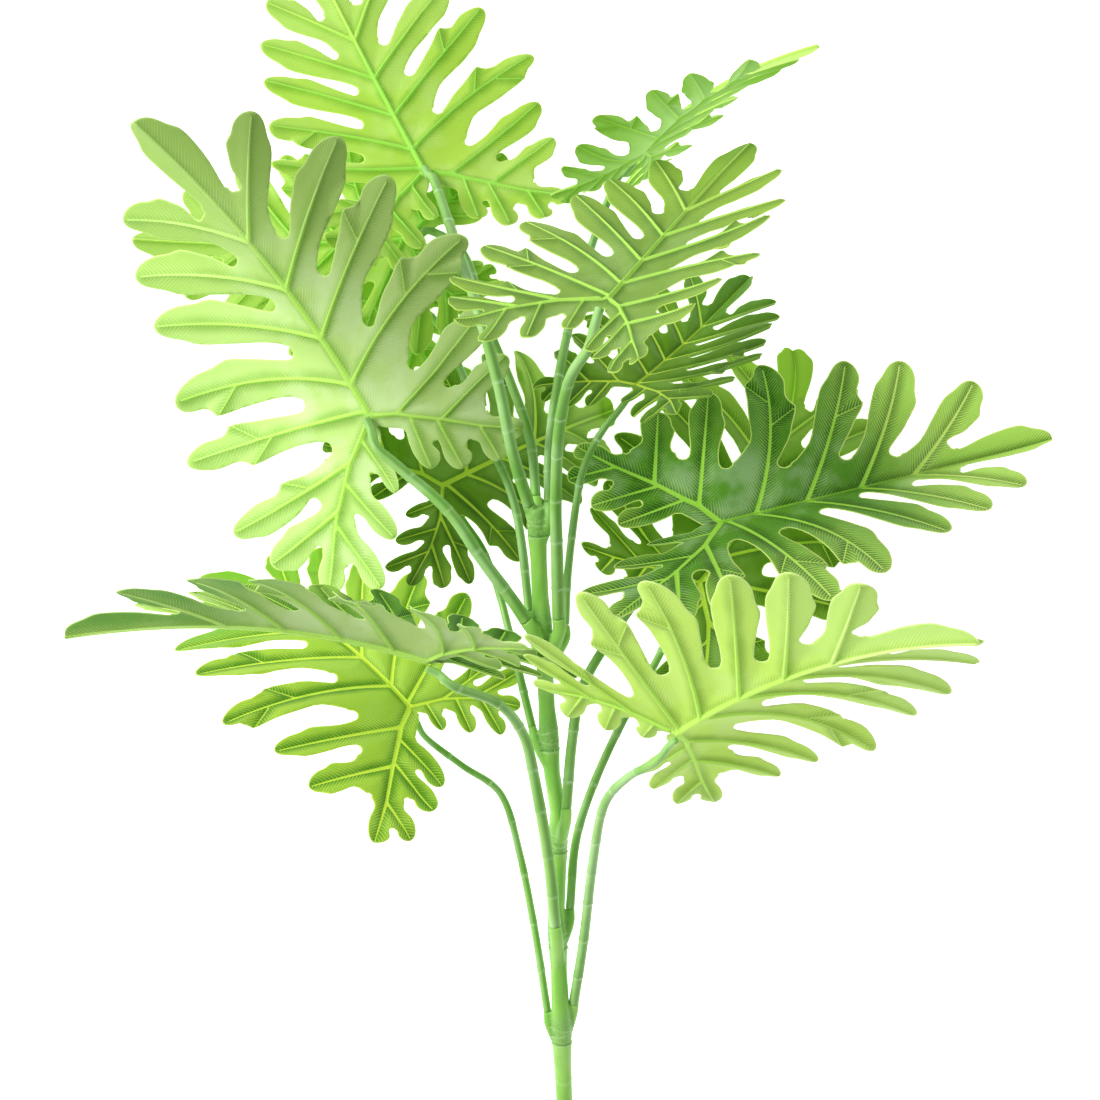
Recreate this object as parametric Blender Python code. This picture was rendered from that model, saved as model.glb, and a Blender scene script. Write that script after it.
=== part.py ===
"""Philodendron leaf spray: a cut artificial stem with thirteen split leaves, lying on a table.

Every blade comes from one moulded outline, drawn flat in millimetres, which is scaled,
folded along its midrib, curled, and set on the end of its own petiole.
x runs to the right of the picture, y along the stem, z up from the table.
"""
import math
from collections import namedtuple

import bpy
import bmesh
from mathutils import Matrix, Vector
from mathutils.geometry import delaunay_2d_cdt

MM = 0.001

# Blade thickness, and how far the ribs stand out of the underside, mm
BLADE = 0.8
MIDRIB_RAISE = 2.0
RIB_RAISE = 1.2
SMALL_RIB_RAISE = 0.7

# How far the panels between the ribs stand up towards the top side, and over what distance, mm
PLEAT = 4.5
PLEAT_REACH = 10.0

# The flat leaf, mm: s along the midrib from its base, t across it. A slot's inner end is cut
# flat, as a share of its radius across and set out by a share of it
LEAF_LENGTH = 273.0
HALF_SPREAD = 130.0
HEEL_LENGTH = 100.0
BIG_SLOT_RADIUS = 5.2
SMALL_SLOT_RADIUS = 2.6
SLOT_FLAT = 0.85
SLOT_SET = 0.3
NOTCH = (-12.0, 0.0)

# A step in a lobe's edge: its widest and its narrowest place, as shares of the plain width, the
# way between them and the way until the edge is plain again, as shares of the free edge
STEP_OUT = 1.16
STEP_IN = 0.78
STEP_LENGTH = 0.085
STEP_END = 0.26

# How bluntly a lobe is rounded at its tip
TIP_POWER = 4.2

MIDRIB = [(0, 0), (26, 0), (66, 0), (109, 0), (152, 0), (190, 0), (232, 0), (LEAF_LENGTH, 0)]

# A lobe: where its rib starts, its tip, half its width, how far its rib bows to the leaf's tip,
# where its heel edge and its fore edge are stepped (0 for a plain edge), and the slot after it
Lobe = namedtuple("Lobe", "root tip half bow heel_step fore_step slot")

# Right half, from the heel to the tip
RIGHT = [
    Lobe((-9, 19), (-55, 14), 9, 0, 0, 0, (-32, 30)),
    Lobe((-28, 51), (-80, 40), 11, 0, 0, 0, (-50, 59)),
    Lobe((-49, 75), (-105, 69), 10.5, 0, 0, 0, (-78, 82)),
    Lobe((-49, 75), (-88, 107), 11, 0, 0, 0, (-56, 95)),
    Lobe((-42, 68), (-49, 133), 14, 0, 0, 0, (-28, 78)),
    Lobe((-18, 38), (-16, 146), 13.5, 0, 0, 0.50, (0, 48)),
    Lobe((4, 0), (47, 149), 15, 2, 0.58, 0.62, (36, 49)),
    Lobe((26, 0), (89, 131), 18.5, 8, 0.70, 0, (70, 33)),
    Lobe((66, 0), (142, 109), 16.5, 3, 0, 0, (104, 21)),
    Lobe((109, 0), (178, 95), 17, 3, 0, 0, (145, 23)),
    Lobe((152, 0), (217, 69), 16, 2, 0, 0, (185, 20)),
]
# Left half, from the heel to the tip, drawn with t positive
LEFT = [
    Lobe((-23, 28), (-78, 21), 10.5, 0, 0, 0, (-56, 34)),
    Lobe((-40, 45), (-95, 43), 10.5, 0, 0, 0, (-74, 57)),
    Lobe((-69, 71), (-108, 71), 9.5, 0, 0, 0, (-92, 81)),
    Lobe((-69, 71), (-95, 98), 10.5, 0, 0, 0, (-57, 80)),
    Lobe((-43, 48), (-24, 114), 14, 0, 0, 0, (-17, 62)),
    Lobe((-14, 20), (19, 119), 14.5, 0, 0, 0, (13, 45)),
    Lobe((26, 0), (67, 135), 18.5, 8, 0.80, 0.58, (56, 34)),
    Lobe((66, 0), (131, 116), 17.5, 3, 0, 0.60, (103, 28)),
    Lobe((109, 0), (174, 105), 17.5, 3, 0, 0, (141, 21)),
    Lobe((152, 0), (226, 70), 16.5, 2, 0, 0, (187, 18)),
]
TERMINAL = Lobe((118, 0), (273, 0), 21.5, 0, 0, 0, None)
RIGHT_HEEL_VEIN = [(0, 0), (-9, 19), (-18, 38), (-28, 51), (-42, 68), (-49, 75)]
LEFT_HEEL_VEIN = [(0, 0), (-14, 20), (-23, 28), (-40, 45), (-43, 48), (-69, 71)]

# Where along a lobe's edge its outline has points, and along its rib
BIG_LENGTH = 60.0
BIG_STEPS = (0.28, 0.62, 0.91)
SMALL_STEPS = (0.4, 0.87)
BIG_RIB = (0, 0.33, 0.62, 0.9)
SMALL_RIB = (0, 0.5, 0.88)

# A leaf on the spray: where its blade starts, which way its midrib points seen from above
# (0 up the picture, positive to the left), how far the tip is raised, how far it is turned
# over (180 shows the underside), and in degrees over a whole leaf: the bend of the midrib
# and of the heel, the fold and the curl of each half, then its length, its widths, and how
# far the lobes behind its base reach back
Leaf = namedtuple("Leaf", "at yaw pitch roll arch heel fold_r fold_l curl_r curl_l "
                  "size wide_r wide_l back_r back_l", defaults=(1, 1))
LEAVES = {
    "leaf_top": Leaf((-93, 280, 100), 28, -28, -173, 16, 12, -4, 6, 24, 13, 0.86, 0.83, 0.99, 1.00, 0.92),
    "leaf_left_large": Leaf((-128, 95, 180), 30, -6, 158, 45, -4, 23, 1, 44, -6,
                            0.98, 1.00, 0.98, 1.04, 0.73),
    "leaf_right_large": Leaf((125, 19, 131), -76, -5, -1, 14, 9, 69, 0, 37, 38,
                             0.97, 0.82, 0.87, 1.07, 0.97),
    "leaf_right_low": Leaf((86, -125, 257), -53, 39, -99, 25, 9, 55, -17, 0, 32,
                           0.93, 0.95, 1.09, 0.45, 0.90),
    "leaf_right_high": Leaf((39, 167, 297), -39, -42, -174, 12, -8, 41, -53, -2, 12,
                            0.73, 1.10, 0.95, 0.96, 1.00),
    "leaf_left_low": Leaf((-105, -118, 74), 42, -19, 49, 43, 9, 26, -1, -11, 8,
                          0.85, 0.74, 1.21, 0.63, 1.01),
    "leaf_right_dark": Leaf((62, 118, 151), -50, -40, -40, -11, 5, 16, 23, -13, 19,
                            0.56, 1.22, 0.97, 0.94, 1.03),
    "leaf_left_edge": Leaf((-85, -77, 228), 72, 3, 98, 29, -3, 36, 34, 10, 55,
                           0.92, 0.60, 0.80, 1.10, 0.70),
    "leaf_top_right": Leaf((68, 290, 135), -45, 40, 92, -30, 4, 14, -11, -3, 25,
                           0.61, 0.77, 1.14, 0.98, 0.74),
    "leaf_left_hidden": Leaf((-79, 47, 118), -63, -17, -2, 57, 9, -11, 2, 7, 37,
                             0.78, 0.66, 0.90, 0.79, 0.85),
    "leaf_right_back": Leaf((113, -25, 65), -40, 0, 24, 74, 14, 59, -16, 46, 18,
                            0.91, 0.78, 0.96, 1.07, 0.45),
    "leaf_left_back": Leaf((-107, 233, 74), 92, -17, -165, 20, 8, 6, 6, 16, 16, 0.78, 0.8, 0.8),
    "leaf_left_deep": Leaf((-108, 182, 34), 75, -19, 178, 10, 8, 5, 5, 12, 12, 0.62, 0.8, 0.8),
}

# Height over which the table pushes a blade up and levels it, mm
PRESS = 4.0

# The trunk, mm: its cut end and joints, and its radius there
TRUNK = [
    ((12, -449, 5.25), 6.0), ((9, -374, 38), 6.7), ((6, -297, 69), 6.2), ((6, -222, 98), 6.0),
    ((0, -144, 128), 5.9), ((-5, -64, 160), 6.0), ((-9, 11, 190), 5.8),
]
# Rings of the sleeve over a joint, mm: distance past the joint and what it adds to the radius
SLEEVE = ((-20, 0.0), (0, 1.2), (0.8, 0.7), (14, 1.2), (32, 0.0))
LAST_SLEEVE = ((-20, 0.0), (0, 1.2), (0.8, 0.7), (14, 1.0), (20, 0.0))

# A petiole: its route from the trunk, mm, its radius at the trunk and at the blade, and how it
# meets the leaf: places along the midrib, and there the depth of its side below the blade
ALONG = ((-24, 8.2), (-10, 3.1), (-1.2, 2.05))
BELOW = ((6, 17.0), (2, 7.0), (0, 1.0))
LEVEL = ((-38, -3), (-24, -3), (-13, -3))
RISING = ((-36, -20), (-24, -11), (-13, -3))
Petiole = namedtuple("Petiole", "route thick thin entry", defaults=(ALONG,))
PETIOLES = {
    "leaf_top": Petiole([(-15, 32, 199), (-26, 68, 224), (-35, 112, 230),
                         (-48, 160, 231), (-61, 200, 192)], 4.4, 3.2),
    "leaf_left_large": Petiole([(-17, -50, 176), (-27, -35, 182), (-49, -5, 192),
                                (-72, 28, 196), (-106, 58, 193)], 4.8, 3.1),
    "leaf_right_large": Petiole([(12, -188, 122), (16, -139, 136), (23, -101, 140),
                                 (43, -65, 138), (80, -14, 128)], 3.9, 2.8),
    "leaf_right_low": Petiole([(18, -343, 50), (25, -291, 84), (31, -226, 142),
                               (38, -180, 192), (53, -158, 226)], 3.9, 2.5),
    "leaf_right_high": Petiole([(6, -48, 178), (5, -7, 200), (4, 31, 222),
                                (6, 80, 258), (13, 113, 296)], 4.5, 3.3, RISING),
    "leaf_left_low": Petiole([(-2, -350, 46), (-11, -290, 56), (-23, -228, 62),
                              (-37, -184, 62), (-66, -162, 67)], 3.0, 2.2),
    "leaf_right_dark": Petiole([(11, -53, 162), (13, -14, 164), (20, 41, 162),
                                (27, 66, 161), (38, 86, 162)], 2.9, 2.3),
    "leaf_left_edge": Petiole([(4, -279, 89), (-1, -227, 116), (-11, -166, 146),
                               (-19, -132, 166), (-36, -108, 200)], 4.5, 2.6),
    "leaf_top_right": Petiole([(-1, 34, 195), (0, 78, 190), (7, 127, 176),
                               (16, 171, 142), (30, 222, 108)], 3.6, 2.6, LEVEL),
    "leaf_left_hidden": Petiole([(-13, -129, 128), (-27, -73, 108), (-38, -31, 94),
                                 (-50, 0, 86), (-66, 24, 82)], 3.0, 2.4, BELOW),
    "leaf_right_back": Petiole([(15, -268, 76), (19, -219, 80), (31, -179, 80),
                                (52, -133, 74), (79, -86, 60)], 3.4, 2.8),
    "leaf_left_back": Petiole([(-10, 38, 181), (-14, 78, 168), (-28, 120, 148),
                               (-46, 165, 126), (-63, 217, 104)], 3.6, 2.8),
    "leaf_left_deep": Petiole([(-15, -44, 156), (-21, 9, 150), (-29, 44, 144),
                               (-46, 82, 130), (-72, 147, 80)], 3.2, 2.6),
}

# The socket on the trunk that a petiole butts into, mm
STUB_BACK = 34.0
STUB_STRAIGHT = 12.0
STUB_WALL = (1.0, 0.4, 0.2)
BUTT_GAP = 0.3

# Bevel resolutions of the round bars: 10, 6 and 8 sides
TRUNK_ROUND = 3
PETIOLE_ROUND = 1
STUB_ROUND = 2
WELD = 1e-6

LIME = (0.42, 0.72, 0.08)
PALE = (0.40, 0.58, 0.15)
GREEN = (0.16, 0.42, 0.05)
DARK = (0.05, 0.22, 0.05)
LEAF_COLOURS = {
    "leaf_top": LIME, "leaf_top_right": LIME, "leaf_left_back": LIME, "leaf_left_deep": LIME,
    "leaf_left_large": PALE, "leaf_right_low": PALE, "leaf_right_high": PALE,
    "leaf_left_edge": PALE, "leaf_left_low": GREEN, "leaf_right_back": GREEN,
    "leaf_right_large": DARK, "leaf_right_dark": DARK, "leaf_left_hidden": DARK,
}
PETIOLE_GREEN = (0.13, 0.42, 0.12)
TRUNK_GREEN = (0.16, 0.50, 0.13)


def smoothstep(low, high, value):
    x = min(max((value - low) / (high - low), 0.0), 1.0)
    return x * x * (3 - 2 * x)


def is_big(lobe):
    return (Vector(lobe.tip) - Vector(lobe.root)).length > BIG_LENGTH


def slot_radius(before, after):
    return BIG_SLOT_RADIUS if is_big(before) and is_big(after) else SMALL_SLOT_RADIUS


def rib_point(lobe, along):
    """A point of the lobe's rib, at a fraction of its length."""
    root = Vector(lobe.root)
    axis = Vector(lobe.tip) - root
    side = Vector((axis.y, -axis.x)).normalized()
    if side.x < 0:
        side = -side
    return root + axis * along + side * lobe.bow * 4 * along * (1 - along)


def edge(lobe, slot, radius):
    """The lobe's edge from the slot beside it to its tip, both left out."""
    root = Vector(lobe.root)
    axis = Vector(lobe.tip) - root
    length = axis.length
    axis.normalize()
    side = Vector((-axis.y, axis.x))
    start = (slot - root).dot(axis) / length
    middle = rib_point(lobe, start)
    if (slot - middle).dot(side) < 0:
        side = -side
    start_width = (slot - middle).dot(side) - radius
    step = lobe.fore_step if side.x > 0 else lobe.heel_step
    marks = [(place, 1.0) for place in (BIG_STEPS if is_big(lobe) else SMALL_STEPS)]
    if step:
        marks = [mark for mark in marks if abs(mark[0] - step) > 0.09]
        marks += [(step, STEP_OUT), (step + STEP_LENGTH, STEP_IN)]
        marks.sort()
    points = []
    for place, factor in marks:
        along = start + (1 - start) * place
        width = lobe.half * (0.74 + 0.26 * smoothstep(0.1, 0.6, place)) * (1 - place ** TIP_POWER) ** 0.5
        if step and place > step + STEP_LENGTH:
            width *= STEP_IN + (1 - STEP_IN) * smoothstep(step + STEP_LENGTH, step + STEP_END, place)
        width = start_width + (width * factor - start_width) * smoothstep(0.0, 0.3, place)
        points.append(rib_point(lobe, along) + side * width)
    return points


def slot_end(slot, before, after):
    """The round inner end of the slot between two lobes."""
    radius = slot_radius(before, after)
    ends = []
    for lobe in (before, after):
        root = Vector(lobe.root)
        axis = (Vector(lobe.tip) - root).normalized()
        side = Vector((-axis.y, axis.x))
        across = side * math.copysign(radius, (slot - root).dot(side))
        ends.append(slot - across * SLOT_FLAT + axis * radius * SLOT_SET)
    return ends


def mirrored(lobe):
    return lobe._replace(root=(lobe.root[0], -lobe.root[1]), tip=(lobe.tip[0], -lobe.tip[1]),
                         slot=(lobe.slot[0], -lobe.slot[1]))


class LeafPlan:
    """The flat mould: its outline, then the points of its ribs with their heights."""

    def __init__(self):
        left = [mirrored(lobe) for lobe in LEFT]
        ring = RIGHT + [TERMINAL] + left[::-1]
        slots = [NOTCH] + [lobe.slot for lobe in RIGHT] + [lobe.slot for lobe in left[::-1]]
        slots = [Vector(slot) for slot in slots]
        self.points = []
        for i, lobe in enumerate(ring):
            before, after = slots[i], slots[(i + 1) % len(slots)]
            previous, following = ring[i - 1], ring[(i + 1) % len(ring)]
            self.points += slot_end(before, previous, lobe)
            self.points += edge(lobe, before, slot_radius(previous, lobe))
            self.points.append(Vector(lobe.tip))
            self.points += edge(lobe, after, slot_radius(lobe, following))[::-1]
        self.outline = list(range(len(self.points)))
        self.heights = [0.0] * len(self.points)
        self.ribs = []
        self.add_rib(MIDRIB, MIDRIB_RAISE, MIDRIB_RAISE * 0.2)
        for vein, sign in ((RIGHT_HEEL_VEIN, 1), (LEFT_HEEL_VEIN, -1)):
            self.add_rib([(s, t * sign) for s, t in vein], RIB_RAISE * 1.3, RIB_RAISE * 0.7)
        for lobe in RIGHT + left:
            raised = RIB_RAISE if is_big(lobe) else SMALL_RIB_RAISE
            places = BIG_RIB if is_big(lobe) else SMALL_RIB
            self.add_rib([rib_point(lobe, place) for place in places], raised, raised * 0.3)
        self.lifts = [PLEAT * (1 - math.exp(-self.rib_distance(point) / PLEAT_REACH))
                      for point in self.points]

    def add_rib(self, line, height_start, height_end):
        previous = None
        for n, place in enumerate(line):
            place = Vector(place)
            index = next((k for k, q in enumerate(self.points) if (q - place).length < 0.5), None)
            height = height_start + (height_end - height_start) * n / (len(line) - 1)
            if index is None:
                index = len(self.points)
                self.points.append(place)
                self.heights.append(height)
            elif index >= len(self.outline):
                self.heights[index] = max(self.heights[index], height)
            if previous is not None and previous != index:
                self.ribs.append((previous, index))
            previous = index

    def rib_distance(self, place):
        """How far a point of the mould lies from the nearest rib."""
        nearest = math.inf
        for start, end in self.ribs:
            a, b = self.points[start], self.points[end]
            share = (place - a).dot(b - a) / (b - a).length_squared
            nearest = min(nearest, (place - a.lerp(b, min(max(share, 0), 1))).length)
        return nearest


def bent(leaf, s, t):
    """The mould's point (s, t) on the leaf's own bent surface, x right, y to the tip, z top."""
    s *= leaf.size
    if s < 0:
        s *= leaf.back_r if t > 0 else leaf.back_l
    wide, fold, curl = ((leaf.wide_r, leaf.fold_r, leaf.curl_r) if t > 0
                        else (leaf.wide_l, leaf.fold_l, leaf.curl_l))
    across = abs(t) * leaf.size * wide
    if s > 0:
        rate = math.radians(leaf.arch) / (LEAF_LENGTH * leaf.size) + 1e-9
    else:
        rate = math.radians(leaf.heel) / (HEEL_LENGTH * leaf.size) + 1e-9
    fold = math.radians(fold)
    curl = math.radians(curl) / (HALF_SPREAD * leaf.size) + 1e-9
    out = (math.sin(fold) - math.sin(fold - curl * across)) / curl
    up = (math.cos(fold - curl * across) - math.cos(fold)) / curl
    turn = rate * s
    midrib = Vector((math.copysign(out, t), math.sin(turn) / rate, -(1 - math.cos(turn)) / rate))
    return midrib + Vector((0, math.sin(turn), math.cos(turn))) * up


def leaf_turn(leaf):
    return (Matrix.Rotation(math.radians(leaf.yaw), 3, "Z")
            @ Matrix.Rotation(math.radians(leaf.pitch), 3, "X")
            @ Matrix.Rotation(math.radians(leaf.roll), 3, "Y"))


def leaf_place(leaf):
    return Matrix.Translation(Vector(leaf.at)) @ leaf_turn(leaf).to_4x4()


def surface(leaf, s, t):
    """Place and top normal of the mould's point, in the leaf's own frame, mm."""
    step = 0.5 if t >= 0 else -0.5
    here = bent(leaf, s, t)
    along = bent(leaf, s + 0.5, t) - here
    across = (bent(leaf, s, t + step) - here) * (1 if t >= 0 else -1)
    return here, across.cross(along).normalized()


def pressed(height):
    """Height of a point that the table pushes up, level where it would be below the table."""
    if height >= PRESS:
        return height
    if height <= -PRESS:
        return 0.0
    return (height + PRESS) ** 2 / (4 * PRESS)


def add_object(name, mesh, colour):
    material = bpy.data.materials.new(name)
    material.use_nodes = True
    shader = material.node_tree.nodes["Principled BSDF"]
    shader.inputs["Base Color"].default_value = (*colour, 1)
    shader.inputs["Roughness"].default_value = 0.45
    shader.inputs["Metallic"].default_value = 0
    mesh.materials.clear()
    mesh.materials.append(material)
    body = bpy.data.objects.new(name, mesh)
    pieces.objects.link(body)
    return body


def add_leaf(name, leaf, plan):
    """Top face, underside with its raised ribs, alike in triangles, and the thin edge between."""
    place = leaf_place(leaf)
    back = leaf_turn(leaf).inverted()
    flat = [Vector((point.y, point.x)) for point in plan.points]
    verts, _, faces, origin, _, _ = delaunay_2d_cdt(flat, plan.ribs, [plan.outline], 1, 1e-4)
    shape = bmesh.new()
    top, low = [], []
    for vert, sources in zip(verts, origin):
        height = max((plan.heights[k] for k in sources), default=RIB_RAISE * 0.5)
        raised = max((plan.lifts[k] for k in sources), default=0.0)
        middle, normal = surface(leaf, vert.y, vert.x)
        upper = middle + normal * (raised + BLADE / 2)
        lower = middle + normal * (raised - BLADE / 2 - height)
        lowest = min((place @ upper).z, (place @ lower).z)
        lift = back @ Vector((0, 0, pressed(lowest) - lowest))
        top.append(shape.verts.new((upper + lift) * MM))
        low.append(shape.verts.new((lower + lift) * MM))
    for a, b, c in faces:
        shape.faces.new((top[a], top[b], top[c]))
        shape.faces.new((low[c], low[b], low[a]))
    rim = [e for e in shape.edges if e.is_boundary and e.verts[0] in set(top)]
    partner = dict(zip(top, low))
    for side in rim:
        start, end = side.verts
        shape.faces.new((start, partner[start], partner[end]))
        shape.faces.new((start, partner[end], end))
    bmesh.ops.recalc_face_normals(shape, faces=shape.faces)
    mesh = bpy.data.meshes.new(name)
    shape.to_mesh(mesh)
    shape.free()
    body = add_object(name, mesh, LEAF_COLOURS[name])
    turn = leaf_turn(leaf)
    body.location = Vector(leaf.at) * MM
    body.rotation_euler = turn.to_euler()
    body.parent = spray
    return body


def curve_through(points, per_span):
    """A smooth line through the points, with a fixed number of steps a span."""
    points = [Vector(point) for point in points]
    padded = [points[0] * 2 - points[1]] + points + [points[-1] * 2 - points[-2]]
    line = []
    for i in range(1, len(padded) - 2):
        a, b, c, d = padded[i - 1:i + 3]
        for n in range(per_span):
            x = n / per_span
            line.append(0.5 * (2 * b + (c - a) * x + (2 * a - 5 * b + 4 * c - d) * x * x
                               + (3 * b - a - 3 * c + d) * x ** 3))
    line.append(points[-1])
    return line


def add_bar(name, line, radii, resolution, colour):
    """A round bar along a line, as a bevelled curve made a mesh, with its caps welded."""
    curve = bpy.data.curves.new(name, "CURVE")
    curve.dimensions = "3D"
    curve.bevel_depth = MM
    curve.bevel_resolution = resolution
    curve.use_fill_caps = True
    spline = curve.splines.new("POLY")
    spline.points.add(len(line) - 1)
    for point, place, radius in zip(spline.points, line, radii):
        point.co = (*(place * MM), 1)
        point.radius = radius
    drawn = bpy.data.objects.new(name + "_curve", curve)
    pieces.objects.link(drawn)
    bpy.context.view_layer.update()
    graph = bpy.context.evaluated_depsgraph_get()
    mesh = bpy.data.meshes.new_from_object(drawn.evaluated_get(graph))
    bpy.data.objects.remove(drawn, do_unlink=True)
    shape = bmesh.new()
    shape.from_mesh(mesh)
    bmesh.ops.remove_doubles(shape, verts=shape.verts, dist=WELD)
    bmesh.ops.recalc_face_normals(shape, faces=shape.faces)
    shape.to_mesh(mesh)
    shape.free()
    mesh.name = name
    body = add_object(name, mesh, colour)
    body.parent = spray
    return body


def blade_entry(leaf, petiole):
    """The petiole's last points: it comes in on the underside, between the two folded halves."""
    place = leaf_place(leaf)
    tilt = math.radians(leaf.fold_r - leaf.fold_l) / 2
    under = Vector((math.sin(tilt), 0, -math.cos(tilt)))
    return [place @ (under * (petiole.thin + depth) + Vector((0, along, 0)))
            for along, depth in petiole.entry]


def petiole_line(name):
    petiole = PETIOLES[name]
    return curve_through(petiole.route + blade_entry(LEAVES[name], petiole), 2)


def add_petiole(name):
    petiole = PETIOLES[name]
    line = petiole_line(name)
    taper = (petiole.thin - petiole.thick) / (len(line) - 1)
    radii = [petiole.thick + taper * n for n in range(len(line))]
    add_bar(name.replace("leaf", "petiole"), line, radii, PETIOLE_ROUND, PETIOLE_GREEN)


def trunk_centre(y):
    for (low, _), (high, _) in zip(TRUNK, TRUNK[1:]):
        if y <= high[1]:
            break
    return Vector(low).lerp(Vector(high), (y - low[1]) / (high[1] - low[1]))


def add_stub(name):
    """The socket on the trunk that a petiole butts into."""
    line = petiole_line(name)
    petiole = PETIOLES[name]
    ahead = (line[1] - line[0]).normalized()
    end = line[0] - ahead * BUTT_GAP
    places = [trunk_centre(line[0].y - STUB_BACK), end - ahead * STUB_STRAIGHT, end]
    radii = [petiole.thick + wall for wall in STUB_WALL]
    return add_bar(name.replace("leaf", "socket"), places, radii, STUB_ROUND, TRUNK_GREEN)


def add_trunk():
    """The trunk with a sleeve over each joint, and its sockets joined on."""
    cut_end, radius = TRUNK[0]
    line, radii = [Vector(cut_end)], [radius]
    for n in range(1, len(TRUNK)):
        joint, radius = TRUNK[n]
        joint = Vector(joint)
        ahead = (joint - Vector(TRUNK[n - 1][0])).normalized()
        for offset, extra in SLEEVE if n < len(TRUNK) - 1 else LAST_SLEEVE:
            line.append(joint + ahead * offset)
            radii.append(radius + extra)
    trunk = add_bar("stem", line, radii, TRUNK_ROUND, TRUNK_GREEN)
    sockets = bpy.data.collections.new("sockets")
    bpy.context.scene.collection.children.link(sockets)
    for name in PETIOLES:
        sockets.objects.link(add_stub(name))
    union = trunk.modifiers.new("sockets", "BOOLEAN")
    union.operand_type = "COLLECTION"
    union.collection = sockets
    union.operation = "UNION"
    union.solver = "EXACT"
    bpy.context.view_layer.update()
    graph = bpy.context.evaluated_depsgraph_get()
    joined = bpy.data.meshes.new_from_object(trunk.evaluated_get(graph))
    trunk.modifiers.clear()
    trunk.data = joined
    for socket in list(sockets.objects):
        bpy.data.objects.remove(socket, do_unlink=True)
    bpy.data.collections.remove(sockets)


def centre_on_base():
    """Moves the spray so that the origin is the middle of its box, on the table."""
    bpy.context.view_layer.update()
    places = [body.matrix_world @ vert.co for body in pieces.objects if body.type == "MESH"
              for vert in body.data.vertices]
    low = Vector([min(place[axis] for place in places) for axis in range(3)])
    high = Vector([max(place[axis] for place in places) for axis in range(3)])
    spray.location = -Vector(((low.x + high.x) / 2, (low.y + high.y) / 2, low.z))
    bpy.context.view_layer.update()


for old in list(bpy.data.objects):
    bpy.data.objects.remove(old, do_unlink=True)
pieces = bpy.data.collections.new("philodendron_leaf_spray")
bpy.context.scene.collection.children.link(pieces)
spray = bpy.data.objects.new("spray", None)
pieces.objects.link(spray)

mould = LeafPlan()
for leaf_name, leaf_row in LEAVES.items():
    add_leaf(leaf_name, leaf_row, mould)
    add_petiole(leaf_name)
add_trunk()
centre_on_base()
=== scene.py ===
"""The looks of the philodendron leaf spray: fine blades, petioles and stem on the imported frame.

Every fine blade repeats the mould and the bend of its plain one, with smooth lobes, round ribs,
side veins and quilted panels. Lengths are in millimetres until a mesh is made.
"""

import math
import random
from collections import namedtuple

import bpy
import numpy as np
from mathutils import Matrix, Vector
from mathutils.geometry import delaunay_2d_cdt


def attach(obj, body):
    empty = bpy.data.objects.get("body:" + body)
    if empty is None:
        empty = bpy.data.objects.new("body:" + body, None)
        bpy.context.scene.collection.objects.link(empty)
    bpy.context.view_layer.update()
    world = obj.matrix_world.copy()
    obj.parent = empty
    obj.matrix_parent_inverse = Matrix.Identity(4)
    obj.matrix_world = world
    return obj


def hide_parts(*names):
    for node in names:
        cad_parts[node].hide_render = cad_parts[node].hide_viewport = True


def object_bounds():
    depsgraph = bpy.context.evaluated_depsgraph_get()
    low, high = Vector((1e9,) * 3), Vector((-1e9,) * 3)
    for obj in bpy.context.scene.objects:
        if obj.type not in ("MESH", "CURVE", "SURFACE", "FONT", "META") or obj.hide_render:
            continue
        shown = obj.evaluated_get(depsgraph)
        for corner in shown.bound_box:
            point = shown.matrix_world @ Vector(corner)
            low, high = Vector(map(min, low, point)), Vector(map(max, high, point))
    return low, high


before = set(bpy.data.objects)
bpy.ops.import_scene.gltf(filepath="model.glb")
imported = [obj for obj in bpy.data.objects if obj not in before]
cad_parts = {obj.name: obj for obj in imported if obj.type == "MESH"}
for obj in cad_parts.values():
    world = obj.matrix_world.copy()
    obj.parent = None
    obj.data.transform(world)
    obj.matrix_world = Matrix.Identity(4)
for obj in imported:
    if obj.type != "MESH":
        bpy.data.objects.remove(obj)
cad_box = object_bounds()

MM = 0.001
# The middle of the picture, where the spray was drawn from, in the frame
DRAWN_FROM = Vector((-21.876, -12.339, 0.0))

# Blade thickness at its middle and at its rim, and the heights of the ribs on the underside
BLADE = 0.8
RIM_SHARE = 0.35
RIM_WIDTH = 1.6
MIDRIB_RAISE = 2.4
HEEL_RAISE = 1.95
RIB_RAISE = 1.5
SMALL_RIB_RAISE = 0.9
# How much lower a rib is at its end, and how round it is across
RIB_FALL = 0.7
RIB_ROUND = 0.75
# How much of a rib's height shows on the top side
TOP_SHARE = 0.28

# How far the panels between the ribs stand up towards the top side, and over what distance
PLEAT = 4.5
PLEAT_REACH = 10.0

# How far the tip of a lobe may bend up or down, and its edges twist
TIP_BEND = 3.0
TIP_TWIST = 2.2
TWIST_REACH = 15.0

# Over this last way to the plain part's box a blade is drawn in
BOX_EDGE = 2.5

# The flat leaf: s along the midrib from its base, t across it
LEAF_LENGTH = 273.0
HALF_SPREAD = 130.0
HEEL_LENGTH = 100.0
# How far off a point the slope of the bent leaf is read
PROBE = 0.5
BIG_SLOT_RADIUS = 5.2
SMALL_SLOT_RADIUS = 2.6
NOTCH = (-12.0, 0.0)

# How bluntly a lobe is rounded at its tip
TIP_POWER = 4.2
# A lobe's width at its slot as a share of its full one, where along its free edge it gets there,
# and over what part of the edge it leaves the slot's round end
LOBE_START = 0.74
LOBE_FULL = (0.1, 0.6)
LOBE_NECK = 0.3

# A step in a lobe's edge: its widest and its narrowest place, as shares of the plain width, and
# how hollow it is between them
STEP_OUT = 1.16
STEP_IN = 0.78
STEP_HOLLOW = 1.8
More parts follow.
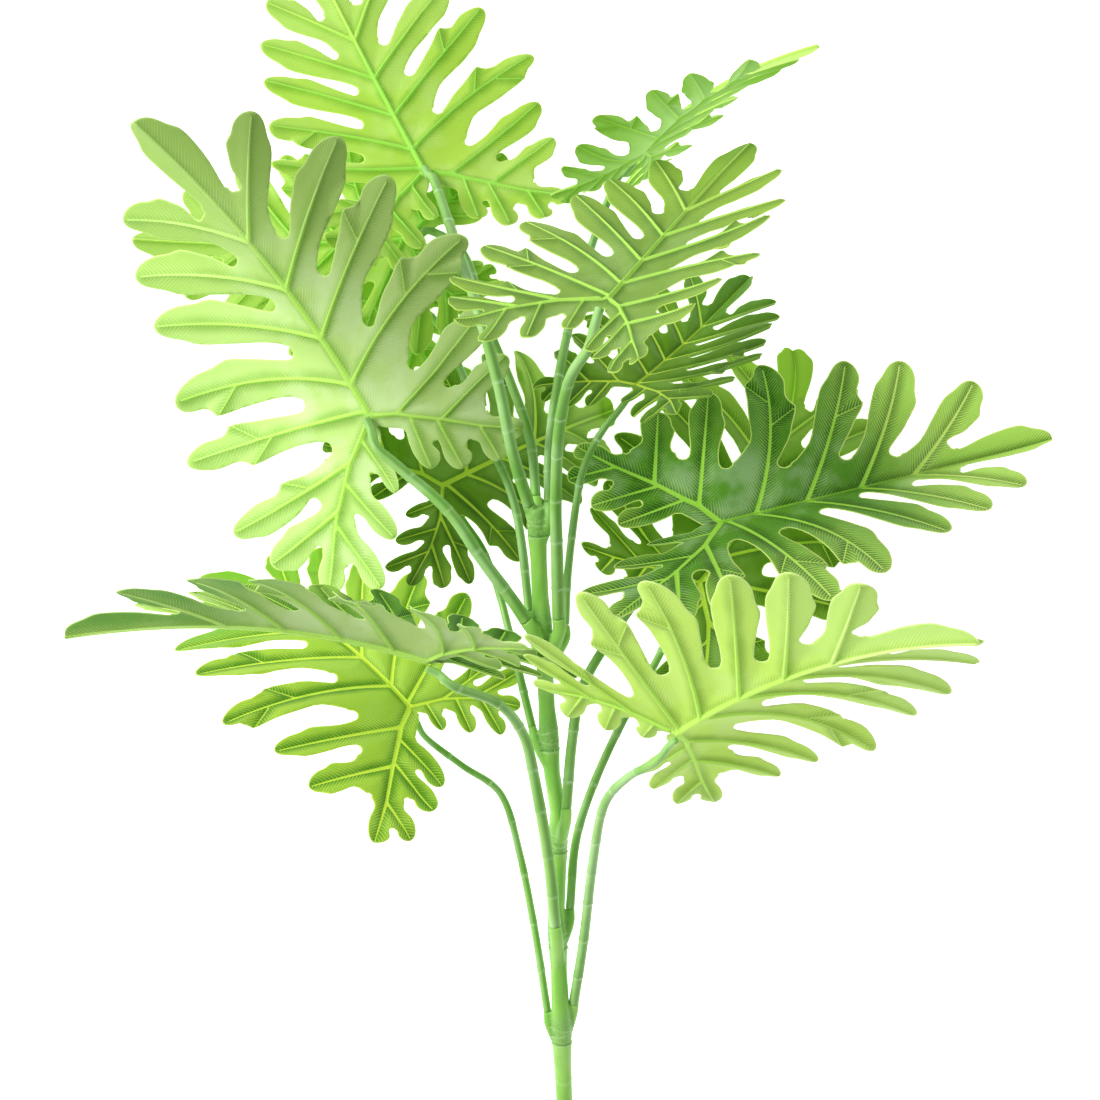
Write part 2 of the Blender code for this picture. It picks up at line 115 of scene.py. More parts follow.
# The way up to it, between them, and until the edge is plain again, as shares of the free edge
STEP_RISE = 0.22
STEP_LENGTH = 0.085
STEP_END = 0.26
# The softer shoulder of the other edges of the big lobes: where it is on the heel side and on the
# fore side, and its waves, each from, to and how high
SHOULDER = 0.08
SHOULDER_AT = (0.70, 0.56)
SHOULDER_WAVES = ((-0.2, 0.0, 1.0), (0.0, 0.12, -1.7), (0.14, 0.28, 0.7))

# A lobe: where its rib starts, its tip, half its width, how far its rib bows to the leaf's tip,
# where its heel edge and its fore edge are stepped (0 for a plain edge), and the slot after it
Lobe = namedtuple("Lobe", "root tip half bow heel_step fore_step slot")
RIGHT = [
    Lobe((-9, 19), (-55, 14), 9, 0, 0, 0, (-32, 30)),
    Lobe((-28, 51), (-80, 40), 11, 0, 0, 0, (-50, 59)),
    Lobe((-49, 75), (-105, 69), 10.5, 0, 0, 0, (-78, 82)),
    Lobe((-49, 75), (-88, 107), 11, 0, 0, 0, (-56, 95)),
    Lobe((-42, 68), (-49, 133), 14, 0, 0, 0, (-28, 78)),
    Lobe((-18, 38), (-16, 146), 13.5, 0, 0, 0.50, (0, 48)),
    Lobe((4, 0), (47, 149), 15, 2, 0.58, 0.62, (36, 49)),
    Lobe((26, 0), (89, 131), 18.5, 8, 0.70, 0, (70, 33)),
    Lobe((66, 0), (142, 109), 16.5, 3, 0, 0, (104, 21)),
    Lobe((109, 0), (178, 95), 17, 3, 0, 0, (145, 23)),
    Lobe((152, 0), (217, 69), 16, 2, 0, 0, (185, 20)),
]
LEFT = [
    Lobe((-23, 28), (-78, 21), 10.5, 0, 0, 0, (-56, 34)),
    Lobe((-40, 45), (-95, 43), 10.5, 0, 0, 0, (-74, 57)),
    Lobe((-69, 71), (-108, 71), 9.5, 0, 0, 0, (-92, 81)),
    Lobe((-69, 71), (-95, 98), 10.5, 0, 0, 0, (-57, 80)),
    Lobe((-43, 48), (-24, 114), 14, 0, 0, 0, (-17, 62)),
    Lobe((-14, 20), (19, 119), 14.5, 0, 0, 0, (13, 45)),
    Lobe((26, 0), (67, 135), 18.5, 8, 0.80, 0.58, (56, 34)),
    Lobe((66, 0), (131, 116), 17.5, 3, 0, 0.60, (103, 28)),
    Lobe((109, 0), (174, 105), 17.5, 3, 0, 0, (141, 21)),
    Lobe((152, 0), (226, 70), 16.5, 2, 0, 0, (187, 18)),
]
TERMINAL = Lobe((118, 0), (273, 0), 21.5, 0, 0, 0, None)
# The midrib's last lobe has no rib of its own: from here on what is near the midrib belongs to it
TERMINAL_FROM = 185.0
RIGHT_HEEL_VEIN = [(0, 0), (-9, 19), (-18, 38), (-28, 51), (-42, 68), (-49, 75)]
LEFT_HEEL_VEIN = [(0, 0), (-14, 20), (-23, 28), (-40, 45), (-43, 48), (-69, 71)]
# A lobe with a longer rib than this is a big one
BIG_LENGTH = 60.0

# The leaves on the spray, as the plain part has them: where a blade's base is and how it is turned,
# how far it arches along the midrib and at the heel, how far each half is folded and curled, its
# size, and how wide its halves and how long their heels are against the mould's
Leaf = namedtuple("Leaf", "at yaw pitch roll arch heel fold_r fold_l curl_r curl_l "
                  "size wide_r wide_l back_r back_l", defaults=(1, 1))
LEAVES = {
    "leaf_top": Leaf((-93, 280, 100), 28, -28, -173, 16, 12, -4, 6, 24, 13, 0.86, 0.83, 0.99, 1.00, 0.92),
    "leaf_left_large": Leaf((-128, 95, 180), 30, -6, 158, 45, -4, 23, 1, 44, -6,
                            0.98, 1.00, 0.98, 1.04, 0.73),
    "leaf_right_large": Leaf((125, 19, 131), -76, -5, -1, 14, 9, 69, 0, 37, 38,
                             0.97, 0.82, 0.87, 1.07, 0.97),
    "leaf_right_low": Leaf((86, -125, 257), -53, 39, -99, 25, 9, 55, -17, 0, 32,
                           0.93, 0.95, 1.09, 0.45, 0.90),
    "leaf_right_high": Leaf((39, 167, 297), -39, -42, -174, 12, -8, 41, -53, -2, 12,
                            0.73, 1.10, 0.95, 0.96, 1.00),
    "leaf_left_low": Leaf((-105, -118, 74), 42, -19, 49, 43, 9, 26, -1, -11, 8,
                          0.85, 0.74, 1.21, 0.63, 1.01),
    "leaf_right_dark": Leaf((62, 118, 151), -50, -40, -40, -11, 5, 16, 23, -13, 19,
                            0.56, 1.22, 0.97, 0.94, 1.03),
    "leaf_left_edge": Leaf((-85, -77, 228), 72, 3, 98, 29, -3, 36, 34, 10, 55,
                           0.92, 0.60, 0.80, 1.10, 0.70),
    "leaf_top_right": Leaf((68, 290, 135), -45, 40, 92, -30, 4, 14, -11, -3, 25,
                           0.61, 0.77, 1.14, 0.98, 0.74),
    "leaf_left_hidden": Leaf((-79, 47, 118), -63, -17, -2, 57, 9, -11, 2, 7, 37,
                             0.78, 0.66, 0.90, 0.79, 0.85),
    "leaf_right_back": Leaf((113, -25, 65), -40, 0, 24, 74, 14, 59, -16, 46, 18,
                            0.91, 0.78, 0.96, 1.07, 0.45),
    "leaf_left_back": Leaf((-107, 233, 74), 92, -17, -165, 20, 8, 6, 6, 16, 16, 0.78, 0.8, 0.8),
    "leaf_left_deep": Leaf((-108, 182, 34), 75, -19, 178, 10, 8, 5, 5, 12, 12, 0.62, 0.8, 0.8),
}
# From this height down a blade is bent level, so that it lies on the table
PRESS = 4.0

# The trunk: its cut end and joints, and its radius there
TRUNK = [
    ((12, -449, 5.25), 6.0), ((9, -374, 38), 6.7), ((6, -297, 69), 6.2), ((6, -222, 98), 6.0),
    ((0, -144, 128), 5.9), ((-5, -64, 160), 6.0), ((-9, 11, 190), 5.8),
]
# Rings of the sleeve over a joint: distance past the joint and what it adds to the radius
SLEEVE = ((-20, 0.0), (-9, 0.5), (0, 1.2), (0.8, 0.7), (2.2, 1.1), (14, 1.2), (32, 0.0))
LAST_SLEEVE = ((-20, 0.0), (-9, 0.5), (0, 1.2), (0.8, 0.7), (2.2, 1.0), (14, 1.0), (20, 0.0))

# How a petiole comes to its blade: places along the midrib, and how far below it, past the
# petiole's own radius
ALONG = ((-24, 8.2), (-10, 3.1), (-1.2, 2.05))
BELOW = ((6, 17.0), (2, 7.0), (0, 1.0))
LEVEL = ((-38, -3), (-24, -3), (-13, -3))
RISING = ((-36, -20), (-24, -11), (-13, -3))
# A petiole: its route from the trunk, its radius there and at the blade, and how it comes in
Petiole = namedtuple("Petiole", "route thick thin entry", defaults=(ALONG,))
PETIOLES = {
    "leaf_top": Petiole([(-15, 32, 199), (-26, 68, 224), (-35, 112, 230),
                         (-48, 160, 231), (-61, 200, 192)], 4.4, 3.2),
    "leaf_left_large": Petiole([(-17, -50, 176), (-27, -35, 182), (-49, -5, 192),
                                (-72, 28, 196), (-106, 58, 193)], 4.8, 3.1),
    "leaf_right_large": Petiole([(12, -188, 122), (16, -139, 136), (23, -101, 140),
                                 (43, -65, 138), (80, -14, 128)], 3.9, 2.8),
    "leaf_right_low": Petiole([(18, -343, 50), (25, -291, 84), (31, -226, 142),
                               (38, -180, 192), (53, -158, 226)], 3.9, 2.5),
    "leaf_right_high": Petiole([(6, -48, 178), (5, -7, 200), (4, 31, 222),
                                (6, 80, 258), (13, 113, 296)], 4.5, 3.3, RISING),
    "leaf_left_low": Petiole([(-2, -350, 46), (-11, -290, 56), (-23, -228, 62),
                              (-37, -184, 62), (-66, -162, 67)], 3.0, 2.2),
    "leaf_right_dark": Petiole([(11, -53, 162), (13, -14, 164), (20, 41, 162),
                                (27, 66, 161), (38, 86, 162)], 2.9, 2.3),
    "leaf_left_edge": Petiole([(4, -279, 89), (-1, -227, 116), (-11, -166, 146),
                               (-19, -132, 166), (-36, -108, 200)], 4.5, 2.6),
    "leaf_top_right": Petiole([(-1, 34, 195), (0, 78, 190), (7, 127, 176),
                               (16, 171, 142), (30, 222, 108)], 3.6, 2.6, LEVEL),
    "leaf_left_hidden": Petiole([(-13, -129, 128), (-27, -73, 108), (-38, -31, 94),
                                 (-50, 0, 86), (-66, 24, 82)], 3.0, 2.4, BELOW),
    "leaf_right_back": Petiole([(15, -268, 76), (19, -219, 80), (31, -179, 80),
                                (52, -133, 74), (79, -86, 60)], 3.4, 2.8),
    "leaf_left_back": Petiole([(-10, 38, 181), (-14, 78, 168), (-28, 120, 148),
                               (-46, 165, 126), (-63, 217, 104)], 3.6, 2.8),
    "leaf_left_deep": Petiole([(-15, -44, 156), (-21, 9, 150), (-29, 44, 144),
                               (-46, 82, 130), (-72, 147, 80)], 3.2, 2.6),
}
# A joint's dark seam and the pale ring before it: how far past the joint, and the seam's depth
SEAM_AT = 0.3
SEAM_DEPTH = 0.5
RING_AT = -0.9
RING_RAISE = 0.3
# Pale edges of the wrapped tape over a joint: how far past it, and how far they sway
WRAPS = ((7.0, 1.6), (13.5, -1.8))
WRAP_SHARE = 0.8
MARK_WIDTH = 0.6
# Marks stay on the trunk and fade so far out from it; a sleeve's darker green fades so far past
MARK_REACH = (2.6, 4.0)
SLEEVE_FADE = (14, 34)
# The pale ring on the lowest segment: its place as a share of the length, width, bow and share
LOW_RING = 0.52
LOW_RING_WIDTH = 0.7
LOW_RING_BOW = 0.12
LOW_RING_SHARE = 0.7
# Hairs of plastic left at the joints: how many each, how long, and the long one low on the left
HAIRS = 3
HAIR_LENGTH = (3, 9)
HAIR_RADII = (0.42, 0.34, 0.24, 0.1)
LONG_HAIR = 17.0
LONG_HAIR_AT = 18.0
# A socket: how far back on the trunk it starts, how long its straight end is, what its wall adds
# from there to its mouth, and the gap to the petiole
STUB_BACK = 34.0
STUB_STRAIGHT = 12.0
STUB_WALL = (1.0, 0.4, 0.2)
BUTT_GAP = 0.3

# Seam rings on a petiole: where the first may be, how far apart they are, how far the last one is
# from the blade; their height and width, and over what way the darker green past one fades
SEAM_FIRST = (20, 34)
SEAM_APART = (33, 42)
SEAM_LAST = 24.0
SEAM_RAISE = 0.3
SEAM_WIDTH = 0.9
SEAM_FADE = 9.0
# The part before the first seam counts as so far past one
UNSEAMED = 60.0
# How much a petiole is swollen at a seam, what it loses past it, and over what way
SWELL = 0.12
WAIST = 0.18
WAIST_REACH = 12.0
# The mint collar starts and is full so far from the blade
COLLAR = (26.0, 14.0)

# Fineness of the outline: points on a lobe's edge, how they crowd to its tip, places on a step and
# the way kept free around it, the way kept free past a slot in its radii, and points on its end
EDGE_STEPS = 22
EDGE_SPACING = 1.8
STEP_PLACES = (0, 0.12, 0.3, 0.6, 1)
STEP_MARGIN = 0.02
SLOT_MARGIN = 1.3
ARC_STEPS = 6
# Fineness of the blade: the grid between the ribs, the rows along them, how far both stay from
# other ribs and the rim, the line inside the rim, the least distance, and places measured at once
GRID = 2.75
GRID_ROW = 0.866
GRID_MARGIN = 1.2
ROW_STEP = 2.0
ROW_MARGIN = 2.1
RIM_MARGIN = 0.8
RIM_INSET = 1.1
CELL = 0.3
BATCH = 2000
# Rows of points along a wide and along a thin rib, and the band they take, in half widths
WIDE_RIB = 0.95
WIDE_ROWS = (0, 0.5, -0.5, 0.95, -0.95, 1.55, -1.55)
THIN_ROWS = (0, 1.05, -1.05, 2.3, -2.3)
ROW_BAND = 1.7
# The channel down a petiole, which the paint also darkens as painted shade: its place on the ring, its width
# in radians, its depth as a share
CHANNEL_AT = -1.05
CHANNEL_WIDTH = 0.5
CHANNEL_DEPTH = 0.22
# Fineness of the petioles, the trunk, the sockets and the stem's skin
TUBE_STEP = 1.5
TUBE_SIDES = 20
TRUNK_SIDES = 40
SOCKET_SIDES = 24
VOXEL = 0.95

# Half widths of the ribs at their root and at their end
MIDRIB_WIDTH = (2.9, 0.95)
HEEL_WIDTH = (2.4, 1.2)
RIB_WIDTH = (1.8, 0.55)
SMALL_WIDTH = (1.3, 0.5)
VEIN_WIDTH = (0.6, 0.35)
VEIN_RAISE = 0.35
# Where a side vein starts on the rib and ends at the edge, from its step, in shares of the edge
SIDE_VEIN = (-0.2, -0.015)
# Where the ribs end: the midrib short of the tip, and a lobe's rib as a share of its length
MIDRIB_SHORT = 2
RIB_END = 0.96
RIB_POINTS = 10
# How the fine strokes slant away from a rib, and how much they bow
STROKE_SLANT = 0.8
STROKE_BOW = 0.02


def smoothstep(low, high, value):
    x = np.clip((value - low) / (high - low), 0.0, 1.0)
    return x * x * (3 - 2 * x)


def bell(distance, width):
    return np.exp(-(distance / width) ** 2)


def is_big(lobe):
    return (Vector(lobe.tip) - Vector(lobe.root)).length > BIG_LENGTH


def slot_radius(before, after):
    return BIG_SLOT_RADIUS if is_big(before) and is_big(after) else SMALL_SLOT_RADIUS


def rib_point(lobe, along):
    """A point of the lobe's rib, at a fraction of its length."""
    root = Vector(lobe.root)
    axis = Vector(lobe.tip) - root
    side = Vector((axis.y, -axis.x)).normalized()
    if side.x < 0:
        side = -side
    return root + axis * along + side * lobe.bow * 4 * along * (1 - along)


def tooth(place, step):
    """What a step in the edge makes of the lobe's width: a point, a nick, then full again."""
    if place <= step:
        return 1 + (STEP_OUT - 1) * smoothstep(step - STEP_RISE, step, place)
    if place <= step + STEP_LENGTH:
        left = 1 - (place - step) / STEP_LENGTH
        return STEP_IN + (STEP_OUT - STEP_IN) * left ** STEP_HOLLOW
    return STEP_IN + (1 - STEP_IN) * smoothstep(step + STEP_LENGTH, step + STEP_END, place)


def shoulder(place, at):
    """What a soft shoulder in the edge makes of the lobe's width."""
    waves = (height * smoothstep(at + start, at + end, place) for start, end, height in SHOULDER_WAVES)
    return 1 + SHOULDER * sum(waves)


class Edge:
    """One edge of a lobe, from the slot beside it to its tip."""

    def __init__(self, lobe, slot, radius):
        self.lobe = lobe
        self.radius = radius
        root = Vector(lobe.root)
        self.axis = (Vector(lobe.tip) - root).normalized()
        length = (Vector(lobe.tip) - root).length
        self.side = Vector((-self.axis.y, self.axis.x))
        self.start = (slot - root).dot(self.axis) / length
        middle = rib_point(lobe, self.start)
        if (slot - middle).dot(self.side) < 0:
            self.side = -self.side
        self.start_width = (slot - middle).dot(self.side) - radius
        fore = self.side.x > 0
        self.step = lobe.fore_step if fore else lobe.heel_step
        self.shoulder_at = SHOULDER_AT[fore]
        self.free_length = length * (1 - self.start)

    def along(self, place):
        return self.start + (1 - self.start) * place

    def point(self, place):
        plain = LOBE_START + (1 - LOBE_START) * smoothstep(*LOBE_FULL, place)
        width = self.lobe.half * plain * (1 - place ** TIP_POWER) ** 0.5
        if self.step:
            width *= tooth(place, self.step)
        elif is_big(self.lobe):
            width *= shoulder(place, self.shoulder_at)
        width = self.start_width + (width - self.start_width) * smoothstep(0.0, LOBE_NECK, place)
        return rib_point(self.lobe, self.along(place)) + self.side * float(width)

    def points(self):
        places = [1 - (1 - n / EDGE_STEPS) ** EDGE_SPACING for n in range(1, EDGE_STEPS)]
        if self.step:
            low, high = self.step - STEP_MARGIN, self.step + STEP_LENGTH + STEP_MARGIN
            places = [place for place in places if place < low or place > high]
            places += [self.step + STEP_LENGTH * share for share in STEP_PLACES]
            places.sort()
        first = SLOT_MARGIN * self.radius / self.free_length
        return [self.point(place) for place in places if place > first]

    def side_vein(self):
        """The thin vein from the rib to the point of the step."""
        start, end = SIDE_VEIN
        return [rib_point(self.lobe, self.along(self.step + start)), self.point(self.step + end)]


def slot_arc(slot, before, after):
    """The round inner end of the slot between two lobes."""
    radius = before.radius
    out = (before.axis + after.axis).normalized()
    points = []
    for n in range(ARC_STEPS + 1):
        angle = math.pi * n / ARC_STEPS
        across = before.side * math.cos(angle) if angle < math.pi / 2 else after.side * -math.cos(angle)
        points.append(slot - across * radius + out * radius * (1 - math.sin(angle)))
    return points


def mirrored(lobe):
    return lobe._replace(root=(lobe.root[0], -lobe.root[1]), tip=(lobe.tip[0], -lobe.tip[1]),
                         slot=(lobe.slot[0], -lobe.slot[1]))


def along_line(line, step):
    """Points a given step apart on a polyline, with the direction there and the share passed."""
    total = sum((b - a).length for a, b in zip(line, line[1:]))
    passed = 0.0
    found = []
    for a, b in zip(line, line[1:]):
        length = (b - a).length
        count = max(1, round(length / step))
        for n in range(count):
            found.append((a.lerp(b, n / count), (b - a) / length, (passed + length * n / count) / total))
        passed += length
    found.append((line[-1], (line[-1] - line[-2]).normalized(), 1.0))
    return found


def off_pieces(places, starts, steps):
    """How far each place is from each straight piece, and where along the piece that is."""
    offset = places[:, None, :] - starts[None]
    along = np.clip((offset * steps).sum(2) / (steps * steps).sum(1), 0, 1)
    return np.linalg.norm(offset - along[..., None] * steps, axis=2), along


class FineMould:
    """The flat blade as a fine mesh, with the ribs' heights and what the surface's paint needs."""

    def __init__(self):
        left = [mirrored(lobe) for lobe in LEFT]
        self.ring = RIGHT + [TERMINAL] + left[::-1]
        slots = [NOTCH] + [lobe.slot for lobe in RIGHT] + [lobe.slot for lobe in left[::-1]]
        slots = [Vector(slot) for slot in slots]
        count = len(self.ring)
        radii = [slot_radius(self.ring[i - 1], self.ring[i]) for i in range(count)]
        heel_edges = [Edge(lobe, slots[i], radii[i]) for i, lobe in enumerate(self.ring)]
        fore_edges = [Edge(lobe, slots[(i + 1) % count], radii[(i + 1) % count])
                      for i, lobe in enumerate(self.ring)]
        outline = []
        self.lines = []
        self.add_line([(0, 0), (LEAF_LENGTH - MIDRIB_SHORT, 0)], MIDRIB_WIDTH, MIDRIB_RAISE, -1)
        self.add_line(RIGHT_HEEL_VEIN, HEEL_WIDTH, HEEL_RAISE, -1)
        self.add_line([(s, -t) for s, t in LEFT_HEEL_VEIN], HEEL_WIDTH, HEEL_RAISE, -1)
        self.free_from = []
        for i, lobe in enumerate(self.ring):
            outline += slot_arc(slots[i], fore_edges[i - 1], heel_edges[i])
            outline += heel_edges[i].points()
            outline.append(Vector(lobe.tip))
            outline += fore_edges[i].points()[::-1]
            self.free_from.append(max(heel_edges[i].start, fore_edges[i].start))
            big = is_big(lobe)
            if lobe is not TERMINAL:
                line = [rib_point(lobe, n / RIB_POINTS) for n in range(RIB_POINTS)]
                line.append(rib_point(lobe, RIB_END))
                width = RIB_WIDTH if big else SMALL_WIDTH
                self.add_line(line, width, RIB_RAISE if big else SMALL_RIB_RAISE, i)
            for side in (heel_edges[i], fore_edges[i]):
                if side.step:
                    self.add_line(side.side_vein(), VEIN_WIDTH, VEIN_RAISE, i)
        self.outline = np.array([tuple(point) for point in outline])
        self.read_segments()
        self.triangulate()
        self.read_surface()

    def add_line(self, line, width, raised, lobe):
        self.lines.append(([Vector(point) for point in line], width, raised, lobe))

    def read_segments(self):
        """Every rib as short straight pieces, with an array for each thing known of a piece."""
        rows = []
        for number, (line, width, raised, lobe) in enumerate(self.lines):
            total = sum((b - a).length for a, b in zip(line, line[1:]))
            passed = 0.0
            for a, b in zip(line, line[1:]):
                length = (b - a).length
                first, last = passed / total, (passed + length) / total
                rows.append((*a, *b, passed, length, first, last, *width, raised, lobe, number))
                passed += length
        rows = np.array(rows)
        self.starts = rows[:, 0:2]
        self.steps = rows[:, 2:4] - self.starts
        self.passed, self.lengths, self.first_share, self.last_share = rows[:, 4:8].T
        self.first_width, self.last_width, self.raised, self.owner, self.number = rows[:, 8:].T

    def widths_away(self, places):
        """How far each place is from each rib piece, in mm and in half widths, and the share passed."""
        away, along = off_pieces(places, self.starts, self.steps)
        share = self.first_share + (self.last_share - self.first_share) * along
        width = self.first_width + (self.last_width - self.first_width) * share
        return away, away / width, share

    def measure(self, places):
        """For each place: rib height, half widths to a rib, the nearest rib's distance and piece."""
        away, ratio, share = self.widths_away(places)
        raised = self.raised * (1 - RIB_FALL * share)
        height = (raised * (1 - np.clip(ratio, 0, 1) ** 2) ** RIB_ROUND).max(1)
        nearest = away.argmin(1)
        return height, np.clip(ratio.min(1), 0, 4), away[np.arange(len(places)), nearest], nearest

    def coordinates(self, places, nearest):
        """How far along, and how far from, each place's given rib piece."""
        ahead = self.steps[nearest] / self.lengths[nearest, None]
        offset = places - self.starts[nearest]
        along = (offset * ahead).sum(1)
        across = offset[:, 0] * ahead[:, 1] - offset[:, 1] * ahead[:, 0]
        return self.passed[nearest] + along, across

    def rim_distance(self, places):
        steps = np.roll(self.outline, -1, axis=0) - self.outline
        found = [off_pieces(places[first:first + BATCH], self.outline, steps)[0].min(1)
                 for first in range(0, len(places), BATCH)]
        return np.concatenate(found)

    def inside(self, places):
        a = self.outline
        b = np.roll(a, -1, axis=0)
        x, y = places[:, 0:1], places[:, 1:2]
        crosses = (a[:, 1] > y) != (b[:, 1] > y)
        reach = (b[:, 0] - a[:, 0]) * (y - a[:, 1]) / np.where(b[:, 1] == a[:, 1], 1, b[:, 1] - a[:, 1])
        return (crosses & (x < reach + a[:, 0])).sum(1) % 2 == 1

    def rows(self):
        """Points in rows along every rib, without those in the band of a rib before it."""
        kept = []
        for number, (line, width, _, _) in enumerate(self.lines):
            row = []
            for point, ahead, share in along_line(line, ROW_STEP):
                half = width[0] + (width[1] - width[0]) * share
                side = Vector((-ahead.y, ahead.x)) * half
                offsets = WIDE_ROWS if half > WIDE_RIB else THIN_ROWS
                row += [tuple(point + side * offset) for offset in offsets]
            row = np.array(row)
            if number:
                before = self.number < number
                row = row[self.widths_away(row)[1][:, before].min(1) > ROW_MARGIN]
            kept.append(row)
        return np.vstack(kept)

    def triangulate(self):
        """Points in rows along the ribs and on a grid between them, joined inside the outline."""
        low, high = self.outline.min(0), self.outline.max(0)
        grid = []
        for j, y in enumerate(np.arange(low[1], high[1], GRID * GRID_ROW)):
            for x in np.arange(low[0] + (j % 2) * GRID / 2, high[0], GRID):
                grid.append((x, y))
        more = np.vstack([self.inset(RIM_INSET), np.array(grid)])
        away, ratio, _ = self.widths_away(more)
        half_width = away / np.maximum(ratio, 1e-6)
        more = more[(away - ROW_BAND * half_width).min(1) > GRID_MARGIN]
        places = np.vstack([self.rows(), more])
        places = places[self.inside(places)]
        places = places[self.rim_distance(places) > RIM_MARGIN]
        kept, cells = [], set()
        for x, y in places:
            cell = (round(x / CELL), round(y / CELL))
            if cell not in cells:
                cells.add(cell)
                kept.append((x, y))
        places = np.vstack([self.outline, np.array(kept)])
        flat = [Vector((y, x)) for x, y in places]
        rim = list(range(len(self.outline)))
        verts, _, faces, _, _, _ = delaunay_2d_cdt(flat, [], [rim], 1, 1e-5)
        self.places = np.array([(vert.y, vert.x) for vert in verts])
        self.faces = np.array(faces)

    def inset(self, depth):
        """The outline moved in a little, so that the rim can be rounded."""
        before = np.roll(self.outline, 1, axis=0)
        after = np.roll(self.outline, -1, axis=0)
        ahead = after - before
        ahead /= np.linalg.norm(ahead, axis=1)[:, None]
        normal = np.stack([-ahead[:, 1], ahead[:, 0]], 1)
        inner = self.outline + normal * depth
        if self.inside(inner).mean() < 0.5:
            inner = self.outline - normal * depth
        return inner

    def read_surface(self):
        self.height, self.ratio, self.near, nearest = self.measure(self.places)
        self.rim = self.rim_distance(self.places)
        lobes = self.owner[nearest].astype(int)
        self.free = np.zeros(len(self.places))
        self.lobe = np.zeros(len(self.places), int)
        self.across = self.coordinates(self.places, nearest)[1]
        for i, lobe in enumerate(self.ring):
            mine = lobes == i
            if lobe is TERMINAL:
                mine = (lobes == -1) & (self.places[:, 0] > TERMINAL_FROM)
            root, tip = np.array(lobe.root), np.array(lobe.tip)
            axis = (tip - root) / ((tip - root) ** 2).sum()
            share = ((self.places - root) * axis).sum(1)
            free = np.clip((share - self.free_from[i]) / (1 - self.free_from[i]), 0, 1)
            self.free = np.where(mine, free, self.free)
            self.lobe = np.where(mine, i, self.lobe)
        middles = self.places[self.faces].mean(1)
        own = self.measure(middles)[3]
        corners = self.places[self.faces].reshape(-1, 2)
        along, across = self.coordinates(corners, np.repeat(own, 3))
        across = np.abs(across)
        self.hatch = along - STROKE_SLANT * across - STROKE_BOW * across ** 2
        edges = {}
        for a, b, c in self.faces.tolist():
            for edge in ((a, b), (b, c), (c, a)):
                edges[edge] = True
        self.rim_edges = np.array([edge for edge in edges if edge[::-1] not in edges])


def bent(leaf, s, t):
    """The mould's points (s, t) on the leaf's own bent surface, x right, y to the tip, z top."""
    right = t > 0
    s = s * leaf.size
    s = np.where(s < 0, s * np.where(right, leaf.back_r, leaf.back_l), s)
    across = np.abs(t) * leaf.size * np.where(right, leaf.wide_r, leaf.wide_l)
    fold = np.radians(np.where(right, leaf.fold_r, leaf.fold_l))
    curl = np.radians(np.where(right, leaf.curl_r, leaf.curl_l)) / (HALF_SPREAD * leaf.size) + 1e-9
    front = math.radians(leaf.arch) / (LEAF_LENGTH * leaf.size) + 1e-9
    back = math.radians(leaf.heel) / (HEEL_LENGTH * leaf.size) + 1e-9
    rate = np.where(s > 0, front, back)
    out = (np.sin(fold) - np.sin(fold - curl * across)) / curl
    up = (np.cos(fold - curl * across) - np.cos(fold)) / curl
    turn = rate * s
    x = np.where(right, out, -out)
    y = np.sin(turn) / rate + np.sin(turn) * up
    z = -(1 - np.cos(turn)) / rate + np.cos(turn) * up
    return np.stack([x, y, z], 1)


def surface(leaf, s, t):
    """Place and top normal of the mould's points, in the leaf's own frame."""
    step = np.where(t >= 0, PROBE, -PROBE)
    here = bent(leaf, s, t)
    along = bent(leaf, s + PROBE, t) - here
    across = (bent(leaf, s, t + step) - here) * np.sign(step)[:, None]
    normal = np.cross(across, along)
    return here, normal / np.linalg.norm(normal, axis=1)[:, None]


def leaf_place(leaf):
    turn = (Matrix.Rotation(math.radians(leaf.yaw), 4, "Z")
            @ Matrix.Rotation(math.radians(leaf.pitch), 4, "X")
            @ Matrix.Rotation(math.radians(leaf.roll), 4, "Y"))
    return Matrix.Translation(Vector(leaf.at)) @ turn


def pressed(height):
    """Heights of points that the table pushes up, level where they would be below the table."""
    bowed = (height + PRESS) ** 2 / (4 * PRESS)
    return np.where(height >= PRESS, height, np.where(height <= -PRESS, 0.0, bowed))


def linked(name, data):
    """A new object in the scene, of the given mesh, lamp or camera."""
    made = bpy.data.objects.new(name, data)
    bpy.context.scene.collection.objects.link(made)
    return made


def mesh_of(name, places, faces):
    mesh = bpy.data.meshes.new(name)
    mesh.from_pydata(places, [], faces)
    return mesh


def new_object(name, places, faces, node):
    """A smooth mesh object from points in millimetres as drawn, which stands for a node."""
    moved = (np.array(places) + np.array(DRAWN_FROM)) * MM
    body = linked(name, mesh_of(name, moved.tolist(), faces))
    body.data.shade_smooth()
    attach(body, "root")
    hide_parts(node)
    return body


def write_attribute(mesh, name, domain, columns):
    attribute = mesh.attributes.new(name, "FLOAT_VECTOR", domain)
    values = np.stack(columns, 1).astype(np.float32)
    attribute.data.foreach_set("vector", values.ravel())


def held(places):
    """Places drawn in a little where they would stand out of the plain part's box."""
    low, high = (np.array(corner) / MM - np.array(DRAWN_FROM) for corner in cad_box)
    high = high - BOX_EDGE
    low = low + BOX_EDGE
    over = np.maximum(places - high, 0)
    under = np.maximum(low - places, 0)
    over = over - BOX_EDGE * (1 - np.exp(-over / BOX_EDGE))
    under = under - BOX_EDGE * (1 - np.exp(-under / BOX_EDGE))
    under[:, 2] = 0
    return places - over + under


